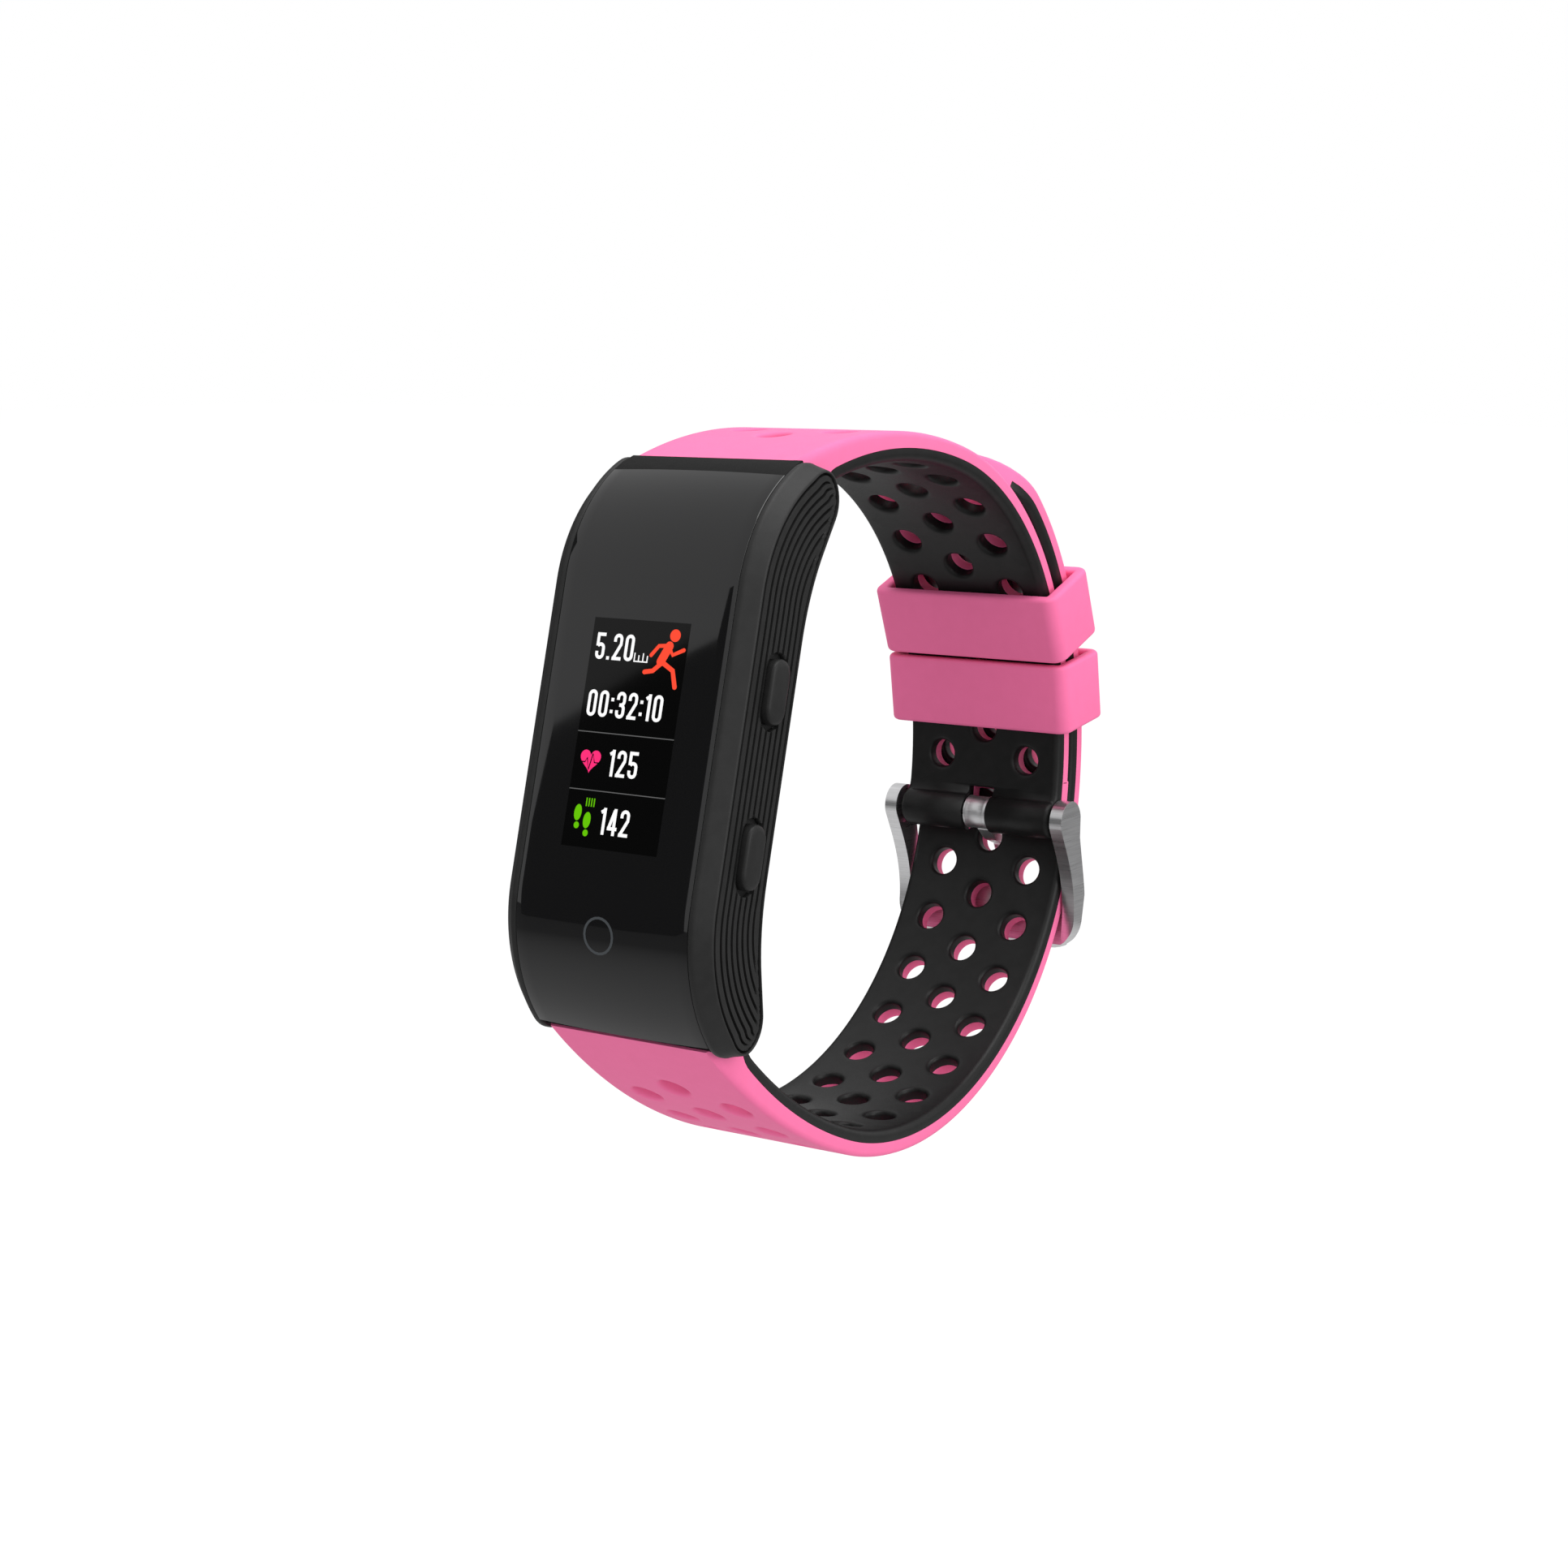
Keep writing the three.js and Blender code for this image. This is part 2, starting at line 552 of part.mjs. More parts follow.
function makeLowerOuter() {
  const outline = [
    ...arc(shiftOut(SHOULDER, TAIL_SHIFT + STRAP), TIP_ANGLE, LAP_JOINT),
    ...arc(shiftOut(LAP, TAIL_SHIFT + STRAP), LAP_JOINT, 0).slice(1),
    ...arc(shiftOut(ROUND, STRAP), 0, ROUND_END).slice(1),
    ...arc(LOWER_CROWN, ROUND_END, LOWER_CROWN_END).slice(1),
    endPoint(-15.3, 23, -1),
    ...lowerCurve(BLACK + LAYER_GAP, LOWER_SEAM_END).reverse(),
  ];
  return makeLowerLayer(outline.reverse());
}

function makeLowerInner() {
  const outline = [
    ...lowerCurve(BLACK, LOWER_SEAM_END),
    endPoint(-15, 22.8, -1),
    endPoint(-14.1, 22.1, -1),
    endPoint(-12.4, 24.9, -1),
    ...lowerCurve(0, LOWER_INNER_END).reverse(),
  ];
  return makeLowerLayer(outline.reverse());
}

place(loop, "strap_upper_outer", makeUpperOuter(), pinkSilicone);
place(loop, "strap_upper_inner", makeUpperInner(), blackSilicone);
place(loop, "strap_lower_outer", makeLowerOuter(), pinkSilicone);
place(loop, "strap_lower_inner", makeLowerInner(), blackSilicone);

// ---- the buckle ---------------------------------------------------------------------------------
function makeBuckleFrame() {
  const cheek = [
    ...arc({ centre: PIN_AT, radius: 2.1 }, 20, 220, 20),
    ...points([37.9, -1], [39.5, -2.9], [40.9, -5.3], [41.8, -8.4], [42.3, -10.1], [42.7, -10.9], [43.3, -10.9]),
    ...points([43.7, -10.3], [43.75, -8], [43.5, -5.2], [42.1, -1.8], [40.6, 0.8]),
  ];
  const plate = points(
    [42.9, -11.2], [43.3, -11.2], [43.65, -10.8], [43.75, -8], [43.75, -5.3], [43.05, -5.3], [42.95, -8],
    [42.6, -10.8],
  );
  const arms = [-BUCKLE_HALF, BUCKLE_INNER].map((x0) => prism(cheek, x0, x0 + BUCKLE_HALF - BUCKLE_INNER));
  const frame = join(prism(plate, -PLATE_HALF, PLATE_HALF), ...arms);
  return cut(frame, prism(circlePoints(PIN_AT, PIN_RADIUS + 0.1, 12), -BUCKLE_HALF - 1, BUCKLE_HALF + 1));
}

function makeTongue() {
  const barrel = prism(circlePoints(PIN_AT, 1.7, 18), -TONGUE_HALF, TONGUE_HALF);
  const prong = points(
    [38.9, 0.3], [40.3, -0.75], [43.35, -1.1], [43.9, -2.4], [43.95, -6.5], [43.85, -11.4],
    [44.3, -11.6], [44.75, -11.2], [44.95, -6.5], [44.85, -1.8], [43.8, -0.1], [40.9, 0.2], [39.9, 1.2],
  );
  const tongue = join(barrel, prism(prong, -PRONG_HALF, PRONG_HALF));
  return cut(tongue, prism(circlePoints(PIN_AT, PIN_RADIUS + 0.08, 12), -TONGUE_HALF - 1, TONGUE_HALF + 1));
}

const bucklePin = prism(circlePoints(PIN_AT, PIN_RADIUS, 12), -10.55, 10.55);
place(loop, "buckle_frame", makeBuckleFrame(), steel);
place(loop, "buckle_pin", bucklePin, steel);
place(loop, "buckle_tongue", makeTongue(), steel);

// ---- the keepers --------------------------------------------------------------------------------
// A straight-walled ring round both layers of strap, square to the curve at the given angle.
function makeKeeper(circle, angle) {
  const inner = circle.radius;
  const outer = circle.radius + TAIL_SHIFT + STRAP;
  const sag = inner - Math.sqrt(inner ** 2 - (KEEPER_TALL / 2) ** 2);
  const near = inner - sag - KEEPER_SLACK;
  const far = outer + KEEPER_SLACK;
  const half = KEEPER_TALL / 2;
  const ring = cut(
    box(-KEEPER_HALF, KEEPER_HALF, near - KEEPER_WALL, far + KEEPER_WALL, -half, half),
    box(-KEEPER_HALF + KEEPER_WALL, KEEPER_HALF - KEEPER_WALL, near, far, -half - 1, half + 1),
  );
  return ring.rotateX(toRadians(angle)).translate(0, circle.centre[0], circle.centre[1]);
}
place(loop, "upper_keeper", makeKeeper(SHOULDER, LAP_JOINT + 0.6), pinkSilicone);
place(loop, "lower_keeper", makeKeeper(LAP, 23.4), pinkSilicone);

export default band;
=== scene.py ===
"""Looks for the fitness tracker band: detailed meshes, materials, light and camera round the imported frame.

Shapes are drawn in millimetres in the case's own side view, as in the part's source: x runs across the
band, y from the display towards the buckle and z along the case. to_row() leans that drawing back into
the row frame, in metres.
"""

import math

import bmesh
import bpy
from mathutils import Matrix, Vector
from mathutils.kdtree import KDTree


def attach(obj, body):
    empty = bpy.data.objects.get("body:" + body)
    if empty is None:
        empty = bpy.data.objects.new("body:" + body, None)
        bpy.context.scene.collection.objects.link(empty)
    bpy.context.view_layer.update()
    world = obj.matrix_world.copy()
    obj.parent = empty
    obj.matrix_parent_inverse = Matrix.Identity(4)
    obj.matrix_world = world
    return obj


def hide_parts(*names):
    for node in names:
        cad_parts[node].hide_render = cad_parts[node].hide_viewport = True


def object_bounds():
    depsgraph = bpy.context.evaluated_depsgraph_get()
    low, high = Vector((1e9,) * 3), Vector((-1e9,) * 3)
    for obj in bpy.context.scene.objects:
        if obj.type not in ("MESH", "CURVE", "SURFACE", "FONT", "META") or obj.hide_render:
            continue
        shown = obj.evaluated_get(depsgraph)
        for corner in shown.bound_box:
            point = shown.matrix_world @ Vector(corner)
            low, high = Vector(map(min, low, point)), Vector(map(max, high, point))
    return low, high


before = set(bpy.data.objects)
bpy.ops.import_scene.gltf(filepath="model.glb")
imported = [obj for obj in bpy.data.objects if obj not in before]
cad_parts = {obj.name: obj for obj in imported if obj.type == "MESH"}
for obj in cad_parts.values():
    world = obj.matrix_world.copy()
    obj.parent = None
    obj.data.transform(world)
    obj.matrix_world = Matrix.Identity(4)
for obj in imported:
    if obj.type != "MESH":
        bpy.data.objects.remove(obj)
CAD_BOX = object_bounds()

# ---- driving dimensions, in millimetres and degrees ----------------------------------------------
LEAN = 15.1
WRIST_CENTRE = (11, 0.5)
CASE_RISE = 0.8

STRAP_HALF = 9
BLACK = 1.2
STRAP = 2.6
LAP_GAP = 0.25
TAIL_SHIFT = STRAP + LAP_GAP
SKIN_FILLET = 0.5  # outer layer's rounded edges
LINING_FILLET = 0.7  # inner layer's, which are broader
HOLE_RADIUS = 1.42
HOLE_X = 5.04
ROW_PITCH = 6.19
ROW_CUTS = 12  # mesh steps in one pitch

CASE_BODY = "case_and_strap"
CASE_HALF = 11.2
GLASS_HALF = 9.4
FRONT = -25.55
FRONT_BEND = 15.2
BEND_AT = 13.6
REAR = -17.05
LOBE = 3.3
LOBE_LEAN = (-0.62, 0.785)
LOBE_SLOPE = (0.944, -0.33)

BUTTON_Y = -20.4
BUTTON_Z = {"upper": 5.6, "lower": -8.8}
BUTTON_LONG = 5.8
BUTTON_WIDE = 2.8

PIN_AT = (38.25, 1.9)
PIN_BORE = 0.95
TUBE_RADIUS = 2.05
SLOT_HALF = 1.55
SLOT_TOP = 4.6
BUCKLE_INNER = 9.3
BUCKLE_HALF = 10.7

KEEPER_HALF = 10.75
KEEPER_WALL = 1.3
KEEPER_TALL = 7.2
KEEPER_SLACK = 0.15
KEEPER_CORNER = 1.35
KEEPER_EDGE = 0.42  # radius of its rounded edges

MILLIMETRE = 0.001
LEANING = Matrix.Rotation(-math.radians(LEAN), 4, "X") @ Matrix.Translation(
    (0, -WRIST_CENTRE[0], -WRIST_CENTRE[1])
)


def to_row(point):
    """A point of the drawing, in millimetres, as a point of the row frame, in metres."""
    return (LEANING @ Vector(point)) * MILLIMETRE


# ---- materials -----------------------------------------------------------------------------------
def fill(tree, node, **inputs):
    """Sets a node's inputs, named as on the node, each to a value or to another node's output."""
    for key, value in inputs.items():
        socket = node.inputs[key.replace("_", " ")]
        if isinstance(value, bpy.types.NodeSocket):
            tree.links.new(value, socket)
        else:
            socket.default_value = value
    return node


def add_node(tree, kind, **inputs):
    return fill(tree, tree.nodes.new(kind), **inputs)


def new_material(name, color, roughness, **sockets):
    """A principled material, its tree and its shader. Sockets are named as on the shader."""
    material = bpy.data.materials.new(name)
    material.use_nodes = True
    tree = material.node_tree
    shader = tree.nodes["Principled BSDF"]
    fill(tree, shader, Base_Color=(*color, 1), Roughness=roughness, **sockets)
    return material, tree, shader


def object_noise(tree, scale, detail=3, stretch=(1, 1, 1)):
    """Noise in the row frame, so that it stays on the piece. Scale counts blotches a metre."""
    place = tree.nodes.new("ShaderNodeTexCoord").outputs["Object"]
    mapping = add_node(tree, "ShaderNodeMapping", Scale=stretch, Vector=place)
    noise = add_node(tree, "ShaderNodeTexNoise", Scale=scale, Detail=detail, Vector=mapping.outputs["Vector"])
    return noise.outputs["Fac"]


def bumps(tree, height, distance):
    return add_node(tree, "ShaderNodeBump", Strength=1, Distance=distance, Height=height).outputs["Normal"]


def grey(value):
    return (value,) * 3


def ramp_between(tree, value, low, high):
    """Turns a noise value into a smooth run between two colours, or two greys."""
    ramp = add_node(tree, "ShaderNodeValToRGB", Fac=value)
    for stop, position, color in zip(ramp.color_ramp.elements, (0.3, 0.7), (low, high)):
        stop.position = position
        stop.color = (*color, 1)
    return ramp.outputs["Color"]


CLOUD_SIZE = 12  # the colour's clouds, as a multiple of the grain
BRUSH_DEEP = 1.5e-6  # metres


def grained(name, low, high, rough, scale, distance, **sockets):
    """Moulded plastic or rubber: cloudy colour, uneven roughness and a fine grain."""
    material, tree, shader = new_material(name, low, rough[0], **sockets)
    cloud = object_noise(tree, scale / CLOUD_SIZE)
    grain = object_noise(tree, scale, detail=2)
    fill(
        tree, shader,
        Base_Color=ramp_between(tree, cloud, low, high),
        Roughness=ramp_between(tree, grain, *map(grey, rough)),
        Normal=bumps(tree, grain, distance),
    )
    return material


def blackish(name, greys, rough, scale, distance, gloss=0.5):
    return grained(name, *map(grey, greys), rough, scale, distance, Specular_IOR_Level=gloss)


def brushed(name, color, rough, scale, stretch, depth=0.88):
    """Metal with fine lines along the direction in which stretch is smallest."""
    material, tree, shader = new_material(name, color, rough[0], Metallic=1)
    lines = object_noise(tree, scale, detail=2, stretch=stretch)
    dark = tuple(depth * channel for channel in color)
    fill(
        tree, shader,
        Base_Color=ramp_between(tree, lines, dark, color),
        Roughness=ramp_between(tree, lines, *map(grey, rough)),
        Normal=bumps(tree, lines, BRUSH_DEEP),
    )
    return material


PINK = grained("pink_silicone", (0.93, 0.175, 0.385), (0.95, 0.182, 0.4), (0.55, 0.65), 9000, 6e-6,
               Specular_IOR_Level=0.2)
BLACK_SILICONE = blackish("black_silicone", (0.007, 0.01), (0.36, 0.46), 9000, 6e-6, 0.24)
CASE_PLASTIC = blackish("case_plastic", (0.01, 0.013), (0.45, 0.56), 12000, 5e-6, 0.35)
TRIM_PLASTIC = blackish("trim_plastic", (0.011, 0.014), (0.42, 0.52), 12000, 4e-6, 0.25)
MIDDLE_PLASTIC = blackish("middle_plastic", (0.004, 0.006), (0.5, 0.6), 12000, 4e-6, 0.1)
SEAL_RUBBER = blackish("seal_rubber", (0.006, 0.01), (0.7, 0.85), 8000, 8e-6)
BOARD = grained("solder_mask", (0.01, 0.09, 0.03), (0.015, 0.12, 0.04), (0.35, 0.5), 3000, 8e-6)
FOIL = brushed("battery_foil", (0.6, 0.62, 0.65), (0.3, 0.45), 900, (1, 1, 0.2))
STEEL = brushed("brushed_steel", (0.8, 0.8, 0.81), (0.27, 0.33), 7000, (0.03, 0.03, 1), 0.84)
SATIN = brushed("satin_steel", (0.8, 0.8, 0.81), (0.36, 0.44), 7000, (0.03, 1, 1))
POLISHED = brushed("polished_steel", (0.84, 0.84, 0.85), (0.15, 0.18), 7000, (1, 0.03, 0.03), 0.93)
GOLD = brushed("gold_plate", (0.83, 0.58, 0.2), (0.2, 0.32), 900, (1, 0.3, 1))


def make_glass_material():
    """Gloss over black ink, with faint smudges that only show in reflections."""
    material, tree, shader = new_material("black_glass", (0.003, 0.003, 0.0033), 0.04, IOR=1.55)
    smudge = object_noise(tree, 120, detail=4)
    fill(tree, shader, Roughness=ramp_between(tree, smudge, grey(0.03), grey(0.06)))
    return material


def glowing(name, color, strength):
    material, _, _ = new_material(
        name, (0, 0, 0), 0.3, Emission_Color=(*color, 1), Emission_Strength=strength, Specular_IOR_Level=0.1
    )
    return material


GLASS = make_glass_material()


# ---- mesh helpers --------------------------------------------------------------------------------
class Solid:
    """Collects points of the drawing and the faces between them."""

    def __init__(self):
        self.points = []
        self.faces = []

    def loop(self, points):
        start = len(self.points)
        self.points.extend(Vector(point) for point in points)
        return list(range(start, len(self.points)))

    def bridge(self, first, second, closed=True):
        count = len(first)
        for i in range(count if closed else count - 1):
            j = (i + 1) % count
            self.faces.append((first[i], first[j], second[j], second[i]))

    def stack(self, rings, caps=True):
        """Joins rings of equal length one after another, and closes the first and last."""
        loops = [self.loop(ring) for ring in rings]
        for first, second in zip(loops, loops[1:]):
            self.bridge(first, second)
        if caps:
            self.faces.append(tuple(reversed(loops[0])))
            self.faces.append(tuple(loops[-1]))
        return loops


def add_to_scene(name, data):
    thing = bpy.data.objects.new(name, data)
    bpy.context.scene.collection.objects.link(thing)
    return thing


def make_object(name, solid, material, smooth=35):
    """A piece from a solid. Edges sharper than smooth, in degrees, stay hard."""
    mesh = bpy.data.meshes.new(name)
    mesh.from_pydata([to_row(point) for point in solid.points], [], solid.faces)
    work = bmesh.new()
    work.from_mesh(mesh)
    bmesh.ops.remove_doubles(work, verts=work.verts, dist=1e-7)
    bmesh.ops.recalc_face_normals(work, faces=work.faces)
    work.to_mesh(mesh)
    work.free()
    mesh.materials.append(material)
    mesh.shade_smooth()
    mesh.set_sharp_from_angle(angle=math.radians(smooth))
    return add_to_scene(name, mesh)


def stacked(name, rings, material, smooth=35, closed=False):
    """A piece from rings of equal length, with caps unless its last ring is joined to its first."""
    solid = Solid()
    loops = solid.stack(rings, caps=not closed)
    if closed:
        solid.bridge(loops[-1], loops[0])
    return make_object(name, solid, material, smooth)


def apply_modifiers(piece):
    """Swaps the piece's mesh for the one that its modifiers give."""
    graph = bpy.context.evaluated_depsgraph_get()
    mesh = bpy.data.meshes.new_from_object(piece.evaluated_get(graph))
    piece.modifiers.clear()
    piece.data = mesh


def carve(piece, *tools, operation="DIFFERENCE"):
    """Cuts the tools out of a piece, or joins them on, and throws the tools away."""
    for tool in tools:
        modifier = piece.modifiers.new("carve", "BOOLEAN")
        modifier.operation = operation
        modifier.solver = "EXACT"
        modifier.object = tool
    bpy.context.view_layer.update()
    apply_modifiers(piece)
    for tool in tools:
        bpy.data.objects.remove(tool)
    return piece


def soften(piece, width, segments=3, angle=30):
    """Rounds the piece's hard edges, width in millimetres."""
    modifier = piece.modifiers.new("soften", "BEVEL")
    modifier.width = width * MILLIMETRE
    modifier.segments = segments
    modifier.limit_method = "ANGLE"
    modifier.angle_limit = math.radians(angle)
    modifier.harden_normals = True
    modifier.use_clamp_overlap = True
    return piece


def side_section(x, outline, rise=0):
    """An outline of the side view, put across the band at x."""
    return [(x, y, z + rise) for y, z in outline]


def prism(name, outline, x0, x1, material):
    return stacked(name, [side_section(x, outline) for x in (x0, x1)], material)


def polar(centre, radius, angle):
    turn = math.radians(angle)
    return (centre[0] + radius * math.cos(turn), centre[1] + radius * math.sin(turn))


def arc(centre, radius, start, end, step=4):
    count = max(1, math.ceil(abs(end - start) / step))
    return [polar(centre, radius, start + (end - start) * i / count) for i in range(count + 1)]


def mix(a, b, share):
    return tuple(p + (q - p) * share for p, q in zip(a, b))


def quadratic(a, b, c, share):
    return mix(mix(a, b, share), mix(b, c, share), share)


def obround(centre, wide, long, steps=8):
    """A slot shape whose long side runs along z."""
    y, z = centre
    half = (long - wide) / 2
    upper = arc((y, z + half), wide / 2, 0, 180, 180 / steps)
    return upper + arc((y, z - half), wide / 2, 180, 360, 180 / steps)


def standing_for(piece, body, slot, *nodes):
    """Puts the piece on its body, in place of the CAD nodes that it details."""
    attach(piece, body)
    if nodes:
        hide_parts(*nodes)
    return piece


# ---- the strap's path ----------------------------------------------------------------------------
SHOULDER = ((9.27, 5.78), 26.5)
LAP = ((0.3, -0.5), 37.45)
LAP_JOINT = 35
ROUND_RADIUS = 30.7
ROUND = ((LAP[0][0] + LAP[1] + TAIL_SHIFT - ROUND_RADIUS, LAP[0][1]), ROUND_RADIUS)
ROUND_END = -96.5
TIP_ANGLE = 74
TIP_CORNER = 7


def sharing_tangent(circle, radius, angle):
    """The centre of a circle of another radius that touches this one at that angle."""
    centre, old = circle
    return polar(centre, old - radius, angle)


UPPER_RUN = (sharing_tangent(SHOULDER, 44, 90), 44)
UPPER_CROWN = (sharing_tangent((SHOULDER[0], SHOULDER[1] + STRAP), 53.85, 90), 53.85)
LOWER_RUN = (sharing_tangent(ROUND, 50, ROUND_END), 50)
LOWER_CROWN = (sharing_tangent((ROUND[0], ROUND[1] + STRAP), 63.2, ROUND_END), 63.2)


class Bend:
    """A stretch of strap along one circle."""

    def __init__(self, circle, start, end):
        self.circle, self.start, self.end = circle, start, end
        self.length = circle[1] * math.radians(abs(end - start))

    def point(self, share, depth):
        angle = self.start + (self.end - self.start) * share
        return polar(self.circle[0], self.circle[1] + depth, angle)


class EndBlock:
    """The last stretch, where the outer layer thickens and both end on the case's slanted wall."""

    CURVED = 0.86  # share of the stretch that still follows the inner circle
    SQUARE = 0.83  # share of the stretch where the layers are still square to the inner face

    def __init__(self, run, crown, start, run_end, crown_end, heel, seam):
        self.run, self.crown, self.start = run, crown, start
        self.run_end, self.crown_end = run_end, crown_end
        self.heel, self.seam = heel, seam
        self.length = run[1] * math.radians(abs(run_end - start)) / self.CURVED

    def inside(self, share, depth, foot):
        """A line that follows the run and then turns down to its foot on the case's wall."""
        bend_share = min(share / self.CURVED, 1)
        angle = self.start + (self.run_end - self.start) * bend_share
        point = polar(self.run[0], self.run[1] + depth, angle)
        if share <= self.CURVED:
            return point
        way = math.radians(angle + 90 * (1 if self.run_end > self.start else -1))
        reach = 0.45 * math.dist(point, foot)
        knee = (point[0] + reach * math.cos(way), point[1] + reach * math.sin(way))
        return quadratic(point, knee, foot, (share - self.CURVED) / (1 - self.CURVED))

    def point(self, share, depth):
        seam = self.inside(share, BLACK, self.seam)
        if depth <= BLACK:
            return mix(self.inside(share, 0, self.heel), seam, depth / BLACK)
        crown = polar(self.crown[0], self.crown[1], self.crown_angle(share))
        return mix(seam, crown, (depth - BLACK) / (STRAP - BLACK))

    def crown_angle(self, share):
        """Where on the crown circle the outer face is: over the inner face, then out to its own end."""
        square = min(share, self.SQUARE)
        base = self.inside(square, 0, self.heel)
        way = Vector(self.inside(square, 1, self.heel)) - Vector(base)
        off = Vector(base) - Vector(self.crown[0])
        along = off.dot(way)
        reach = -along + math.sqrt(along**2 - off.length_squared + self.crown[1] ** 2)
        hit = off + way * reach
        angle = math.degrees(math.atan2(hit.y, hit.x))
        past = max(0, share - self.SQUARE) / (1 - self.SQUARE)
        return angle + (self.crown_end - angle) * past


class Track:
    """One half of the strap, measured in millimetres along its inner face."""

    def __init__(self, *stretches):
        self.stretches = stretches
        self.length = sum(stretch.length for stretch in stretches)

    def point(self, distance, depth):
        for stretch in self.stretches[:-1]:
            if distance <= stretch.length:
                return stretch.point(distance / stretch.length, depth)
            distance -= stretch.length
        last = self.stretches[-1]
        return last.point(min(distance / last.length, 1), depth)


UPPER = Track(
    Bend(LAP, 0, LAP_JOINT),
    Bend(SHOULDER, LAP_JOINT, 90),
    EndBlock(UPPER_RUN, UPPER_CROWN, 90, 119, 121.2, heel=(-14.1, 22.9), seam=(-14.7, 23.4)),
)
LOWER = Track(
    Bend((SHOULDER[0], SHOULDER[1] + TAIL_SHIFT), TIP_ANGLE, LAP_JOINT),
    Bend((LAP[0], LAP[1] + TAIL_SHIFT), LAP_JOINT, 0),
    Bend(ROUND, 0, ROUND_END),
    EndBlock(LOWER_RUN, LOWER_CROWN, ROUND_END, -118.5, -120.6, heel=(-14.1, -21.3), seam=(-14.7, -21.8)),
)
TAIL_LENGTH = LOWER.stretches[0].length + LOWER.stretches[1].length
UPPER_FIRST_PAIR = 8.2
UPPER_ROWS = 20
TONGUE_ROW = TAIL_LENGTH - 0.05
TAIL_ROWS = 12
LOWER_ROWS = TAIL_ROWS + 23


# ---- a perforated layer of strap -----------------------------------------------------------------
def hole_columns(first, count, pair_first):
    """Where the holes are along each of the three columns."""
    columns = {-HOLE_X: [], 0: [], HOLE_X: []}
    for row in range(count):
        distance = first + row * ROW_PITCH / 2
        is_pair = (row % 2 == 0) == pair_first
        for x in columns:
            if is_pair == (x != 0):
                columns[x].append(distance)
    return columns


def fillet(distance, radius):
    """How far a rounded edge drops at that distance from it."""
    if distance >= radius:
        return 0
    return radius - math.sqrt(max(0, radius**2 - (radius - distance) ** 2))


